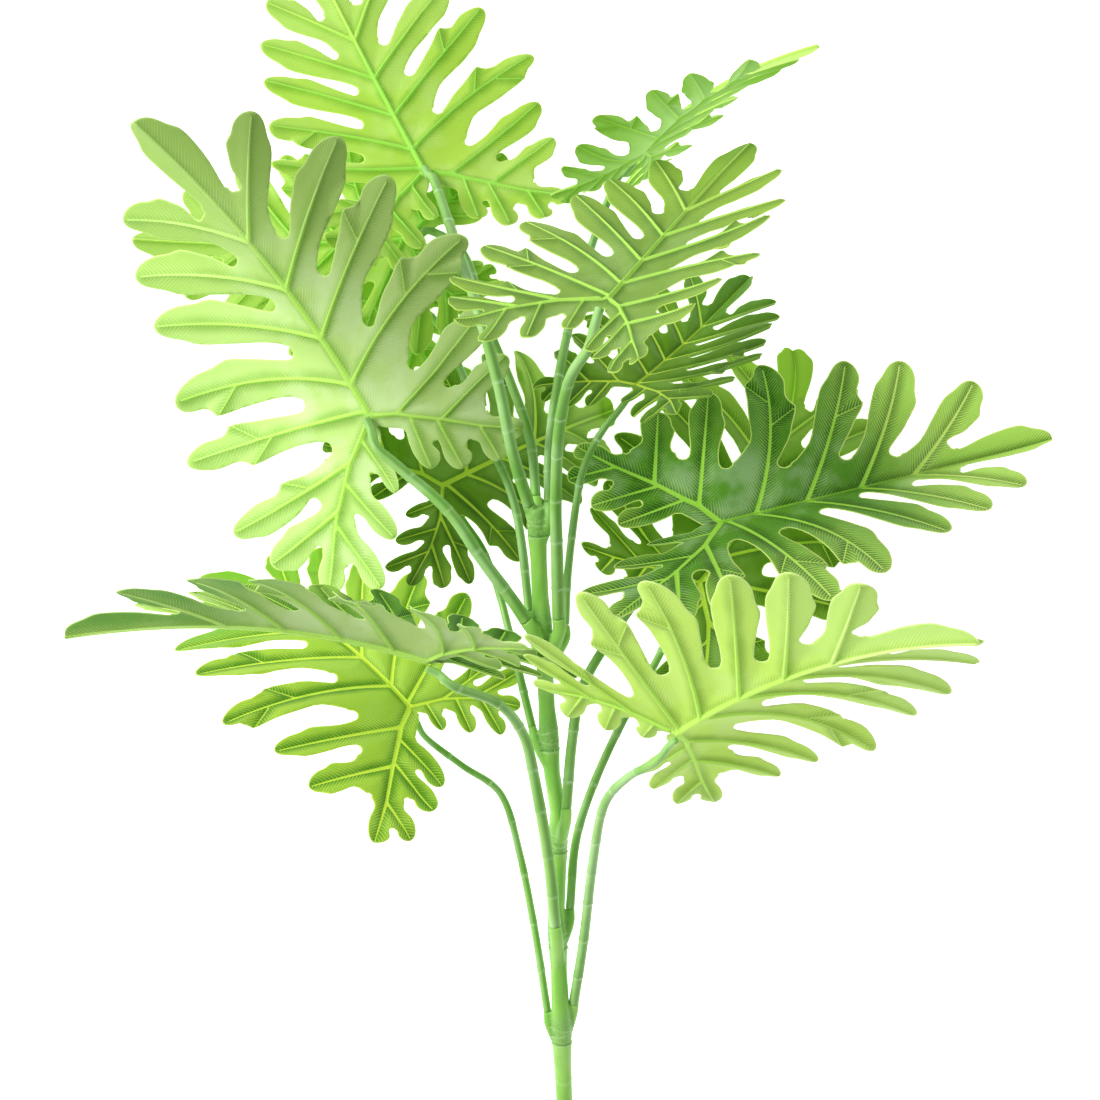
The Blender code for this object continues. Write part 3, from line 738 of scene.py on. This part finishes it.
def add_leaf(name, leaf, mould, seed):
    """The blade: a top face, an underside with raised ribs, and a thin round rim between."""
    s, t = mould.places[:, 0], mould.places[:, 1]
    middle, normal = surface(leaf, s, t)
    chance = np.random.default_rng(seed)
    bends = chance.uniform(-TIP_BEND, TIP_BEND, len(mould.ring))
    twists = chance.uniform(-TIP_TWIST, TIP_TWIST, len(mould.ring))
    tones = chance.uniform(0, 1, len(mould.ring))
    pleat = PLEAT * (1 - np.exp(-mould.near / PLEAT_REACH))
    wave = bends[mould.lobe] * mould.free ** 2 + twists[mould.lobe] * mould.free * mould.across / TWIST_REACH
    half = BLADE / 2 * (RIM_SHARE + (1 - RIM_SHARE) * smoothstep(0, 1, mould.rim / RIM_WIDTH) ** 0.5)
    lift = pleat + wave
    place = np.array(leaf_place(leaf))
    skins = np.stack([(middle + normal * height[:, None]) @ place[:3, :3].T + place[:3, 3]
                      for height in (lift + half + mould.height * TOP_SHARE, lift - half - mould.height)])
    lowest = skins[:, :, 2].min(0)
    skins[:, :, 2] += pressed(lowest) - lowest
    count = len(s)
    top = mould.faces
    under = mould.faces[:, ::-1] + count
    a, b = mould.rim_edges[:, 0], mould.rim_edges[:, 1]
    rim = np.vstack([np.stack([b, a, a + count], 1), np.stack([b, a + count, b + count], 1)])
    places = held(skins.reshape(-1, 3))
    faces = np.vstack([top, under, rim]).tolist()
    mesh = new_object("fine_" + name, places, faces, name).data
    mesh.materials.append(leaf_material(name, "top"))
    mesh.materials.append(leaf_material(name, "under"))
    index = np.ones(len(faces), np.int32)
    index[:len(top)] = 0
    mesh.polygons.foreach_set("material_index", index)
    columns = [np.tile(column, 2) for column in (mould.ratio, mould.near, mould.rim)]
    write_attribute(mesh, "vein", "POINT", columns)
    along = smoothstep(-HEEL_LENGTH, LEAF_LENGTH, s)
    tone = 0.5 + (tones[mould.lobe] - 0.5) * mould.free
    columns = [np.tile(column, 2) for column in (along, tone, t / HALF_SPREAD)]
    write_attribute(mesh, "leaf", "POINT", columns)
    blank = np.zeros(len(rim) * 3)
    hatch, free = (np.concatenate([column.ravel(), column[:, ::-1].ravel(), blank])
                   for column in (mould.hatch.reshape(-1, 3), mould.free[mould.faces]))
    write_attribute(mesh, "hatch", "CORNER", [hatch, free, np.zeros(len(free))])


def curve_through(points, per_span):
    """A smooth line through the points, with a fixed number of steps a span."""
    points = [Vector(point) for point in points]
    padded = [points[0] * 2 - points[1]] + points + [points[-1] * 2 - points[-2]]
    line = []
    for i in range(1, len(padded) - 2):
        a, b, c, d = padded[i - 1:i + 3]
        for n in range(per_span):
            x = n / per_span
            line.append(0.5 * (2 * b + (c - a) * x + (2 * a - 5 * b + 4 * c - d) * x * x
                               + (3 * b - a - 3 * c + d) * x ** 3))
    line.append(points[-1])
    return line


def blade_entry(leaf, petiole):
    """The petiole's last points: it comes in on the underside, between the two folded halves."""
    place = leaf_place(leaf)
    tilt = math.radians(leaf.fold_r - leaf.fold_l) / 2
    under = Vector((math.sin(tilt), 0, -math.cos(tilt)))
    return [place @ (under * (petiole.thin + depth) + Vector((0, along, 0)))
            for along, depth in petiole.entry]


def petiole_line(name, per_span):
    petiole = PETIOLES[name]
    return curve_through(petiole.route + blade_entry(LEAVES[name], petiole), per_span)


def turned_from(angle, middle):
    """The signed turn from one angle to another, within half a circle."""
    return math.atan2(math.sin(angle - middle), math.cos(angle - middle))


def channel(sides):
    """How much of the channel down a petiole's upper side there is at each side of a ring."""
    turns = [turned_from(2 * math.pi * k / sides, CHANNEL_AT) for k in range(sides)]
    return bell(np.array(turns), CHANNEL_WIDTH)


def tube(line, radii, sides, groove=0.0):
    """Rings swept along a line, with a shallow channel down one side and flat caps."""
    ahead = (line[1] - line[0]).normalized()
    across = ahead.cross(Vector((0, 0, 1))).normalized()
    hollow = 1 - groove * channel(sides)
    places = []
    for n, (point, radius) in enumerate(zip(line, radii)):
        following = line[min(n + 1, len(line) - 1)] - line[max(n - 1, 0)]
        across = (across - following * (across.dot(following) / following.length_squared)).normalized()
        other = following.normalized().cross(across)
        for k in range(sides):
            angle = 2 * math.pi * k / sides
            places.append(point + (across * math.cos(angle) + other * math.sin(angle)) * radius * hollow[k])
    faces = []
    for n in range(len(line) - 1):
        for k in range(sides):
            a, b = n * sides + k, n * sides + (k + 1) % sides
            faces.append((a, b, b + sides))
            faces.append((a, b + sides, a + sides))
    places += [line[0], line[-1]]
    start, end, last = len(places) - 2, len(places) - 1, (len(line) - 1) * sides
    for k in range(sides):
        faces.append((start, (k + 1) % sides, k))
        faces.append((end, last + k, last + (k + 1) % sides))
    return places, faces


def spaced(line, values, step):
    """The line again with points a given step apart, and the values there."""
    steps = [(b - a).length for a, b in zip(line, line[1:])]
    passed = np.concatenate([[0], np.cumsum(steps)])
    count = max(2, round(passed[-1] / step))
    wanted = np.linspace(0, passed[-1], count + 1)
    columns = [np.interp(wanted, passed, [point[axis] for point in line]) for axis in range(3)]
    return [Vector(point) for point in zip(*columns)], np.interp(wanted, passed, values), wanted


def add_petiole(name, seed):
    """A petiole with a channel down it, a thin seam ring every few centimetres and a mint collar."""
    petiole = PETIOLES[name]
    line = petiole_line(name, 10)
    plain = np.linspace(petiole.thick, petiole.thin, len(line))
    line, radii, passed = spaced(line, plain, TUBE_STEP)
    chance = random.Random(seed)
    total = passed[-1]
    ring = np.zeros(len(passed))
    since = np.full(len(passed), UNSEAMED)
    seam = chance.uniform(*SEAM_FIRST)
    while seam < total - SEAM_LAST:
        ring = np.maximum(ring, bell(passed - seam, SEAM_WIDTH))
        since = np.where(passed >= seam, passed - seam, since)
        seam += chance.uniform(*SEAM_APART)
    shade = np.exp(-since / SEAM_FADE)
    collar = smoothstep(total - COLLAR[0], total - COLLAR[1], passed)
    radii = radii + SEAM_RAISE * ring - WAIST * (1 - np.exp(-since / WAIST_REACH)) + SWELL
    places, faces = tube(line, radii, TUBE_SIDES, CHANNEL_DEPTH)
    node = name.replace("leaf", "petiole")
    mesh = new_object("fine_" + node, places, faces, node).data
    columns = [np.concatenate([np.repeat(column, TUBE_SIDES), column[[0, -1]]])
               for column in (ring, shade, collar)]
    write_attribute(mesh, "seam", "POINT", columns)
    # How much of the channel each point is in, which the paint darkens as painted shade
    hollow = np.concatenate([np.tile(channel(TUBE_SIDES), len(line)), [0, 0]])
    write_attribute(mesh, "channel", "POINT", [hollow, hollow, hollow])
    mesh.materials.append(petiole_paint)


def trunk_centre(y):
    for (low, _), (high, _) in zip(TRUNK, TRUNK[1:]):
        if y <= high[1]:
            break
    return Vector(low).lerp(Vector(high), (y - low[1]) / (high[1] - low[1]))


def socket_tube(name):
    """The socket on the trunk that a petiole butts into."""
    line = petiole_line(name, 2)
    petiole = PETIOLES[name]
    ahead = (line[1] - line[0]).normalized()
    end = line[0] - ahead * BUTT_GAP
    places = [trunk_centre(line[0].y - STUB_BACK), end - ahead * STUB_STRAIGHT, end]
    radii = [petiole.thick + wall for wall in STUB_WALL]
    smooth = curve_through(places, 8)
    return tube(smooth, np.interp(np.linspace(0, 2, len(smooth)), (0, 1, 2), radii), SOCKET_SIDES)


def trunk_tube():
    cut_end, radius = TRUNK[0]
    line, radii = [Vector(cut_end)], [radius]
    for n in range(1, len(TRUNK)):
        joint, radius = TRUNK[n]
        joint = Vector(joint)
        ahead = (joint - Vector(TRUNK[n - 1][0])).normalized()
        for offset, extra in SLEEVE if n < len(TRUNK) - 1 else LAST_SLEEVE:
            line.append(joint + ahead * offset)
            radii.append(radius + extra)
    return tube(line, radii, TRUNK_SIDES)


def joined(parts):
    places, faces = [], []
    for more_places, more_faces in parts:
        start = len(places)
        places += [tuple(place) for place in more_places]
        faces += [tuple(k + start for k in face) for face in more_faces]
    return places, faces


def whisker(start, direction, length):
    """A thin hair of plastic left at a moulded seam."""
    side = direction.cross(Vector((0.3, 0.2, 1))).normalized()
    line = [start + direction * length * x + side * length * 0.3 * x * x for x in (0, 0.35, 0.7, 1)]
    return tube(line, HAIR_RADII, 5)


def vertex_vectors(mesh, name):
    """A property of every vertex, one row each."""
    values = np.empty(len(mesh.vertices) * 3, np.float32)
    mesh.vertices.foreach_get(name, values)
    return values.reshape(-1, 3).astype(float)


def melted(places, faces):
    """Crossing tubes as one smooth skin: its points, their normals and its faces."""
    drawn = linked("stem_rough", mesh_of("stem_rough", places, faces))
    remesh = drawn.modifiers.new("one", "REMESH")
    remesh.mode = "VOXEL"
    remesh.voxel_size = VOXEL
    soften = drawn.modifiers.new("soft", "SMOOTH")
    soften.factor = 0.5
    soften.iterations = 3
    bpy.context.view_layer.update()
    graph = bpy.context.evaluated_depsgraph_get()
    fine = bpy.data.meshes.new_from_object(drawn.evaluated_get(graph))
    bpy.data.objects.remove(drawn, do_unlink=True)
    skin = vertex_vectors(fine, "co"), vertex_vectors(fine, "normal")
    faces = [tuple(polygon.vertices) for polygon in fine.polygons]
    bpy.data.meshes.remove(fine)
    return *skin, faces


def joint_marks(co):
    """How much each point of the stem is of a dark seam, a pale ring and a darker sleeve."""
    seam, ring, shade = np.zeros((3, len(co)))
    for n in range(1, len(TRUNK)):
        joint, radius = TRUNK[n]
        joint = np.array(joint, float)
        ahead = joint - np.array(TRUNK[n - 1][0], float)
        ahead /= np.linalg.norm(ahead)
        offset = (co - joint) @ ahead
        out = co - joint - offset[:, None] * ahead
        mine = 1 - smoothstep(*MARK_REACH, np.linalg.norm(out, axis=1) - radius)
        angle = np.arctan2(out[:, 2], out[:, 0])
        seam = np.maximum(seam, mine * bell(offset - SEAM_AT, MARK_WIDTH))
        ring = np.maximum(ring, mine * bell(offset - RING_AT, MARK_WIDTH))
        for at, sway in WRAPS:
            edge = at + sway * np.sin(angle + n)
            ring = np.maximum(ring, WRAP_SHARE * mine * bell(offset - edge, MARK_WIDTH))
        shade = np.maximum(shade, mine * smoothstep(0, 1, offset) * (1 - smoothstep(*SLEEVE_FADE, offset)))
    cut_end, first_joint = (np.array(place, float) for place, _ in TRUNK[:2])
    low = cut_end + (first_joint - cut_end) * LOW_RING
    bowed = co[:, 1] - low[1] - LOW_RING_BOW * (co[:, 0] - low[0]) ** 2
    ring = np.maximum(ring, LOW_RING_SHARE * bell(bowed, LOW_RING_WIDTH))
    return seam, ring, shade


def joint_hairs():
    """A few hairs at each joint and a long one low on the left."""
    chance = random.Random(5)
    hairs = []
    for joint, radius in TRUNK[1:]:
        for _ in range(HAIRS):
            angle = chance.uniform(0, 2 * math.pi)
            way = Vector((math.cos(angle), chance.uniform(-0.6, 0.1), abs(math.sin(angle)) + 0.1))
            way.normalize()
            start = trunk_centre(joint[1] + chance.uniform(0, 8)) + way * radius * 0.9
            hairs.append(whisker(start, way, chance.uniform(*HAIR_LENGTH)))
    joint, radius = TRUNK[1]
    start = trunk_centre(joint[1] + LONG_HAIR_AT) + Vector((-radius, 0, 0))
    hairs.append(whisker(start, Vector((-0.8, -0.55, 0.1)).normalized(), LONG_HAIR))
    return joined(hairs)


def add_stem():
    """Trunk and sockets melted into one surface, with a seam, a pale ring and hairs at each joint."""
    co, normal, faces = melted(*joined([trunk_tube()] + [socket_tube(name) for name in PETIOLES]))
    seam, ring, shade = joint_marks(co)
    co += normal * (RING_RAISE * ring - SEAM_DEPTH * seam)[:, None]
    hair_places, hair_faces = joint_hairs()
    faces += [tuple(k + len(co) for k in face) for face in hair_faces]
    mesh = new_object("fine_stem", np.vstack([co, np.array(hair_places)]), faces, "stem").data
    none, full = np.zeros(len(hair_places)), np.ones(len(hair_places))
    columns = [np.concatenate(pair) for pair in ((seam, none), (ring, full), (shade, none))]
    write_attribute(mesh, "joint", "POINT", columns)
    mesh.materials.append(stem_paint)


class Paint:
    """A material whose nodes are added one call at a time."""

    def __init__(self, name):
        self.material = bpy.data.materials.new(name)
        self.material.use_nodes = True
        self.tree = self.material.node_tree
        self.surface = self.tree.nodes["Principled BSDF"]
        self.output = self.tree.nodes["Material Output"]

    def put(self, socket, value):
        if isinstance(value, bpy.types.NodeSocket):
            self.tree.links.new(value, socket)
        elif isinstance(value, tuple) and len(value) == 3 and socket.type == "RGBA":
            socket.default_value = (*value, 1)
        else:
            socket.default_value = value

    def add(self, kind, **settings):
        node = self.tree.nodes.new(kind)
        for key, value in settings.items():
            setattr(node, key, value)
        return node

    def parts(self, name):
        """The three numbers of a named attribute."""
        read = self.add("ShaderNodeAttribute", attribute_name=name)
        split = self.add("ShaderNodeSeparateXYZ")
        self.put(split.inputs[0], read.outputs["Vector"])
        return split.outputs

    def give(self, name, value):
        self.put(self.surface.inputs[name], value)

    def math(self, operation, a, b=0.0, clamp=False):
        node = self.add("ShaderNodeMath", operation=operation, use_clamp=clamp)
        self.put(node.inputs[0], a)
        self.put(node.inputs[1], b)
        return node.outputs[0]

    def plus(self, a, b, clamp=False):
        return self.math("ADD", a, b, clamp)

    def times(self, a, b):
        return self.math("MULTIPLY", a, b)

    def ramp(self, value, low, high, first=0.0, last=1.0):
        node = self.add("ShaderNodeMapRange", interpolation_type="SMOOTHSTEP")
        self.put(node.inputs["Value"], value)
        for key, number in (("From Min", low), ("From Max", high), ("To Min", first), ("To Max", last)):
            node.inputs[key].default_value = number
        return node.outputs[0]

    def mix(self, factor, a, b, blend="MIX"):
        node = self.add("ShaderNodeMix", data_type="RGBA", blend_type=blend)
        self.put(node.inputs["Factor"], factor)
        self.put(node.inputs[6], a)
        self.put(node.inputs[7], b)
        return node.outputs[2]

    def scaled(self, colour, factor):
        node = self.add("ShaderNodeVectorMath", operation="SCALE")
        self.put(node.inputs[0], colour)
        self.put(node.inputs["Scale"], factor)
        return node.outputs[0]

    def noise(self, scale, detail=2.0, stretch=None):
        place = self.add("ShaderNodeNewGeometry").outputs["Position"]
        if stretch:
            scaled = self.add("ShaderNodeVectorMath", operation="MULTIPLY")
            self.put(scaled.inputs[0], place)
            scaled.inputs[1].default_value = stretch
            place = scaled.outputs[0]
        node = self.add("ShaderNodeTexNoise")
        self.put(node.inputs["Vector"], place)
        node.inputs["Scale"].default_value = scale
        node.inputs["Detail"].default_value = detail
        return node.outputs["Fac"]

    def bump(self, height, distance, strength=1.0):
        node = self.add("ShaderNodeBump")
        node.inputs["Strength"].default_value = strength
        node.inputs["Distance"].default_value = distance
        self.put(node.inputs["Height"], height)
        self.put(self.surface.inputs["Normal"], node.outputs[0])

    def through(self, colour, share):
        """Lets some light through, tinted, as a thin sheet does."""
        glow = self.add("ShaderNodeBsdfTranslucent")
        self.put(glow.inputs["Color"], colour)
        blend = self.add("ShaderNodeMixShader")
        blend.inputs[0].default_value = share
        self.tree.links.new(self.surface.outputs[0], blend.inputs[1])
        self.tree.links.new(glow.outputs[0], blend.inputs[2])
        self.tree.links.new(blend.outputs[0], self.output.inputs["Surface"])


# A side of a blade: the panels' painted shade by the ribs (which also colours the dark gaps of the
# fine strokes), their colour away from them, their painted pale sheen, the lobe tips, the fine
# strokes, the ribs, the rim; how strongly the painted sheen and the strokes show, how much light
# goes through, its tint, and the roughness
Side = namedtuple("Side", "shade panel sheen tips vein rib rim sheen_share hatch through glow rough")
DARK_TOP = Side((0.022, 0.10, 0.006), (0.09, 0.28, 0.018), (0.42, 0.58, 0.36), (0.54, 0.88, 0.15),
                (0.36, 0.64, 0.09), (0.40, 0.76, 0.08), (0.78, 0.96, 0.24),
                0.70, 0.90, 0.16, (0.20, 0.60, 0.04), 0.42)
DARK_UNDER = Side((0.22, 0.42, 0.06), (0.32, 0.54, 0.09), (0.40, 0.60, 0.18), (0.36, 0.60, 0.10),
                  (0.44, 0.66, 0.14), (0.52, 0.85, 0.10), (0.44, 0.72, 0.14),
                  0.30, 0.50, 0.24, (0.30, 0.60, 0.04), 0.5)
OLIVE_TOP = Side((0.05, 0.15, 0.008), (0.16, 0.32, 0.018), (0.32, 0.50, 0.14), (0.40, 0.64, 0.08),
                 (0.38, 0.62, 0.06), (0.66, 0.86, 0.08), (0.52, 0.80, 0.10),
                 0.65, 0.60, 0.20, (0.36, 0.66, 0.03), 0.42)
# The olive top made darker, as painted shade for a leaf lying under others
SHADED_TOP = OLIVE_TOP._replace(panel=(0.14, 0.30, 0.012), sheen_share=0.3, tips=(0.10, 0.26, 0.03))
GREEN_TOP = Side((0.07, 0.24, 0.012), (0.48, 0.68, 0.07), (0.52, 0.72, 0.18), (0.20, 0.48, 0.05),
                 (0.70, 0.92, 0.14), (0.82, 0.97, 0.10), (0.74, 0.92, 0.12),
                 0.35, 0.70, 0.22, (0.40, 0.78, 0.05), 0.42)
PALE_UNDER = Side((0.29, 0.50, 0.09), (0.53, 0.73, 0.23), (0.70, 0.86, 0.48), (0.47, 0.69, 0.17),
                  (0.64, 0.84, 0.30), (0.52, 0.84, 0.15), (0.66, 0.92, 0.28),
                  0.60, 0.45, 0.22, (0.42, 0.75, 0.12), 0.5)
BRIGHT_UNDER = Side((0.34, 0.56, 0.06), (0.66, 0.94, 0.15), (0.80, 0.96, 0.44), (0.60, 0.88, 0.22),
                    (0.74, 0.94, 0.30), (0.60, 0.92, 0.16), (0.78, 0.96, 0.34),
                    0.35, 0.65, 0.22, (0.48, 0.82, 0.12), 0.5)
OLIVE_UNDER = Side((0.10, 0.21, 0.030), (0.21, 0.35, 0.055), (0.34, 0.50, 0.18), (0.29, 0.46, 0.065),
                   (0.36, 0.54, 0.10), (0.46, 0.78, 0.12), (0.54, 0.78, 0.14),
                   0.50, 0.55, 0.20, (0.34, 0.62, 0.05), 0.5)
LIME_SIDE = Side((0.22, 0.46, 0.030), (0.46, 0.70, 0.080), (0.62, 0.82, 0.28), (0.52, 0.74, 0.17),
                 (0.62, 0.86, 0.16), (0.40, 0.80, 0.11), (0.66, 0.92, 0.18),
                 0.50, 0.45, 0.24, (0.48, 0.82, 0.12), 0.46)
MINT_SIDE = Side((0.36, 0.70, 0.08), (0.60, 0.94, 0.22), (0.70, 0.94, 0.36), (0.34, 0.70, 0.05),
                 (0.62, 0.88, 0.20), (0.62, 0.94, 0.14), (0.66, 0.92, 0.22),
                 0.25, 0.45, 0.28, (0.46, 0.86, 0.08), 0.46)
DARK_TIPS_UNDER = PALE_UNDER._replace(tips=(0.14, 0.36, 0.05))
SIDES = {
    "leaf_top": (LIME_SIDE, LIME_SIDE),
    "leaf_top_right": (MINT_SIDE, LIME_SIDE),
    "leaf_left_back": (LIME_SIDE, LIME_SIDE),
    "leaf_left_deep": (LIME_SIDE, LIME_SIDE),
    "leaf_left_large": (GREEN_TOP, PALE_UNDER),
    "leaf_right_low": (GREEN_TOP, BRIGHT_UNDER),
    "leaf_right_high": (GREEN_TOP, OLIVE_UNDER),
    "leaf_left_edge": (DARK_TOP, DARK_TIPS_UNDER),
    "leaf_left_low": (GREEN_TOP, PALE_UNDER),
    "leaf_right_back": (OLIVE_TOP, PALE_UNDER),
    "leaf_right_large": (DARK_TOP, DARK_UNDER),
    "leaf_right_dark": (SHADED_TOP, DARK_UNDER),
    "leaf_left_hidden": (OLIVE_TOP, DARK_UNDER),
}
# How far apart the fine strokes are
STROKE = 3.0

# Painted light: how much brighter the half with positive t is painted than the other one, as if lit more,
# and how far out this grows
PAINTED_LIGHT_SLOPES = {"leaf_left_large": 0.7, "leaf_right_large": -0.4, "leaf_left_hidden": -0.3, "leaf_top": 0.2}
PAINTED_LIGHT_REACH = 0.6


def leaf_material(name, which):
    """Painted shade by the ribs, painted pale sheen, slanting fine strokes, bright ribs, a thin light rim, a
    painted light slope.
    """
    side = SIDES[name][which == "under"]
    paint = Paint(f"{name}_{which}")
    ratio, near, rim = paint.parts("vein")
    phase, free, _ = paint.parts("hatch")
    along, tone, across_leaf = paint.parts("leaf")
    blotch = paint.noise(28.0, 3.0)
    fine = paint.noise(420.0, 2.0)
    # The panels: painted shade by the ribs, and painted pale sheen in clouds towards the middle of the blade
    depth = paint.plus(near, paint.times(paint.math("SUBTRACT", blotch, 0.5), 8.0))
    colour = paint.mix(paint.ramp(depth, 0.5, 9.0), side.shade, side.panel)
    pale = paint.times(paint.ramp(blotch, 0.42, 0.64), paint.ramp(free, 0.25, 0.0, 0.15, 1.0))
    pale = paint.times(pale, paint.ramp(near, 2.0, 9.0, 0.35, 1.0))
    colour = paint.mix(paint.times(pale, side.sheen_share), colour, side.sheen)
    # The outer part of each lobe and of the blade, where panels, ribs and strokes change colour
    outer = paint.plus(paint.times(free, 0.3), paint.ramp(along, 0.55, 0.9, 0.0, 0.9))
    outer = paint.plus(outer, paint.math("SUBTRACT", tone, 0.5), clamp=True)
    rib = paint.mix(outer, side.rib, side.rim)
    stroke = paint.mix(outer, side.vein, side.rim)
    # Near the ribs the tips' colour gives way, so the painted shade there stays
    outer = paint.times(outer, paint.ramp(near, 1.0, 9.0, 0.4, 1.0))
    colour = paint.mix(outer, colour, side.tips)
    # The fine strokes: wobbly, broken, and fainter far from a rib
    wobble = paint.times(paint.noise(80.0, 3.0), 7.0)
    wave = paint.math("SINE", paint.plus(paint.times(phase, 2 * math.pi / STROKE), wobble))
    strength = paint.times(paint.ramp(blotch, 0.35, 0.62, 0.45, 1.0), side.hatch)
    strength = paint.times(strength, paint.ramp(fine, 0.30, 0.62, 0.5, 1.0))
    strength = paint.times(strength, paint.ramp(near, 18.0, 6.0, 0.5, 1.0))
    lines = paint.ramp(wave, 0.1, 0.95)
    gaps = paint.ramp(wave, -0.1, -0.95, 0.0, 0.5)
    colour = paint.mix(paint.times(gaps, strength), colour, side.shade)
    colour = paint.mix(paint.times(lines, strength), colour, stroke)
    # The rim and the ribs over all of it, and the painted light that makes one half of the blade brighter
    # than the other
    colour = paint.mix(paint.ramp(rim, 1.3, 0.3), colour, side.rim)
    mask = paint.ramp(ratio, 1.15, 0.8)
    colour = paint.mix(mask, colour, rib)
    painted_light_slope = PAINTED_LIGHT_SLOPES.get(name, 0.0) / 2
    colour = paint.scaled(colour, paint.ramp(across_leaf, -PAINTED_LIGHT_REACH, PAINTED_LIGHT_REACH, 1 - painted_light_slope, 1 + painted_light_slope))
    glow = paint.mix(mask, side.glow, tuple(min(1.0, c * 1.15) for c in side.glow))
    paint.give("Base Color", colour)
    paint.give("Roughness", paint.plus(paint.times(blotch, 0.16), side.rough - 0.08))
    paint.give("Specular IOR Level", 0.18)
    height = paint.plus(paint.times(lines, 0.6), paint.times(fine, 0.4))
    paint.bump(height, 0.0002, 0.8)
    paint.through(glow, side.through)
    return paint.material


def petiole_material():
    """Soft green with painted pale highlights in clouds, painted shade down its channel, thin broken seam
    rings and a mint collar.
    """
    paint = Paint("petiole_green")
    ring, shade, collar = paint.parts("seam")
    hollow = paint.parts("channel")[0]
    streak = paint.noise(60.0, 3.0, (1.0, 0.12, 0.5))
    cloud = paint.noise(22.0, 2.0)
    fine = paint.noise(600.0, 2.0)
    colour = paint.mix(paint.ramp(streak, 0.35, 0.65), (0.24, 0.52, 0.09), (0.35, 0.62, 0.17))
    # Painted pale highlights, in clouds
    pale = paint.times(paint.ramp(cloud, 0.45, 0.65), 0.55)
    colour = paint.mix(pale, colour, (0.50, 0.77, 0.36))
    colour = paint.mix(paint.times(shade, 0.25), colour, (0.12, 0.34, 0.07))
    # Painted shade down the channel
    colour = paint.mix(paint.times(hollow, 0.65), colour, (0.09, 0.28, 0.035))
    colour = paint.mix(paint.times(collar, 0.45), colour, (0.32, 0.62, 0.18))
    broken = paint.ramp(paint.noise(140.0, 1.0), 0.40, 0.58, 0.25, 0.85)
    colour = paint.mix(paint.times(ring, broken), colour, (0.56, 0.80, 0.42))
    paint.give("Base Color", colour)
    paint.give("Roughness", paint.ramp(cloud, 0.3, 0.7, 0.34, 0.46))
    paint.give("Specular IOR Level", 0.35)
    paint.bump(paint.plus(paint.times(streak, 0.7), paint.times(fine, 0.3)), 0.0002, 0.6)
    paint.through((0.30, 0.70, 0.16), 0.12)
    return paint.material


def stem_material():
    """Brighter green segments, dark seams, pale edges and darker rough sleeves."""
    paint = Paint("stem_green")
    seam, ring, shade = paint.parts("joint")
    streak = paint.noise(70.0, 3.0, (1.0, 0.15, 0.5))
    cloud = paint.noise(26.0, 2.0)
    fine = paint.noise(700.0, 3.0)
    colour = paint.mix(paint.ramp(streak, 0.35, 0.65), (0.22, 0.52, 0.07), (0.33, 0.64, 0.12))
    pale = paint.times(paint.ramp(cloud, 0.5, 0.72), 0.35)
    colour = paint.mix(pale, colour, (0.42, 0.70, 0.20))
    sleeve = paint.mix(paint.ramp(fine, 0.3, 0.7), (0.12, 0.32, 0.06), (0.26, 0.48, 0.15))
    colour = paint.mix(paint.times(shade, 0.6), colour, sleeve)
    rough_ring = paint.times(ring, paint.ramp(fine, 0.35, 0.6, 0.25, 0.75))
    colour = paint.mix(rough_ring, colour, (0.55, 0.76, 0.34))
    colour = paint.mix(paint.times(seam, 0.85), colour, (0.05, 0.20, 0.04))
    paint.give("Base Color", colour)
    paint.give("Roughness", paint.ramp(cloud, 0.3, 0.7, 0.34, 0.48))
    paint.give("Specular IOR Level", 0.35)
    paint.bump(paint.plus(paint.times(streak, 0.6), paint.times(fine, 0.4)), 0.00025, 0.6)
    paint.through((0.36, 0.75, 0.18), 0.10)
    return paint.material


def add_floor():
    """A plain white table top that glows a little, as a light table does."""
    paint = Paint("floor_white")
    speck = paint.noise(3.0, 2.0)
    paint.give("Base Color", paint.mix(speck, (0.93, 0.935, 0.93), (0.95, 0.95, 0.95)))
    paint.give("Roughness", 0.9)
    paint.give("Specular IOR Level", 0.1)
    paint.give("Emission Color", (1, 1, 1, 1))
    paint.give("Emission Strength", 0.8)
    half = 8.0
    corners = [(-half, -half, 0), (half, -half, 0), (half, half, 0), (-half, half, 0)]
    mesh = mesh_of("floor", corners, [(0, 1, 2, 3)])
    mesh.materials.append(paint.material)
    linked("floor", mesh)


def add_lights():
    world = bpy.data.worlds.new("studio")
    world.use_nodes = True
    sky = world.node_tree.nodes["Background"]
    sky.inputs["Color"].default_value = (1, 1, 1, 1)
    sky.inputs["Strength"].default_value = 0.48
    bpy.context.scene.world = world
    for name, towards, strength, softness in (
            ("key", (1.0, -0.45, -0.9), 3.0, 28), ("fill", (-0.6, 0.5, -0.9), 0.35, 70)):
        lamp = bpy.data.lights.new(name, "SUN")
        lamp.energy = strength
        lamp.angle = math.radians(softness)
        linked(name, lamp).rotation_euler = Vector(towards).to_track_quat("-Z", "Y").to_euler()


# The camera stands over the middle of the picture and looks straight down
CAMERA_HEIGHT = 2050.0
SHARP_PLANE = 150.0
HALF_VIEW = 396.0


def add_camera():
    data = bpy.data.cameras.new("camera")
    data.lens = data.sensor_width / 2 * (CAMERA_HEIGHT - SHARP_PLANE) / HALF_VIEW
    data.clip_end = 50
    camera = linked("camera", data)
    camera.location = (DRAWN_FROM + Vector((0, 0, CAMERA_HEIGHT))) * MM
    bpy.context.scene.camera = camera


petiole_paint = petiole_material()
stem_paint = stem_material()
fine_mould = FineMould()
for number, (leaf_name, leaf_row) in enumerate(LEAVES.items()):
    add_leaf(leaf_name, leaf_row, fine_mould, 11 + number)
    add_petiole(leaf_name, 41 + number)
add_stem()
add_floor()
add_lights()
add_camera()
bpy.context.scene.view_settings.view_transform = "Standard"
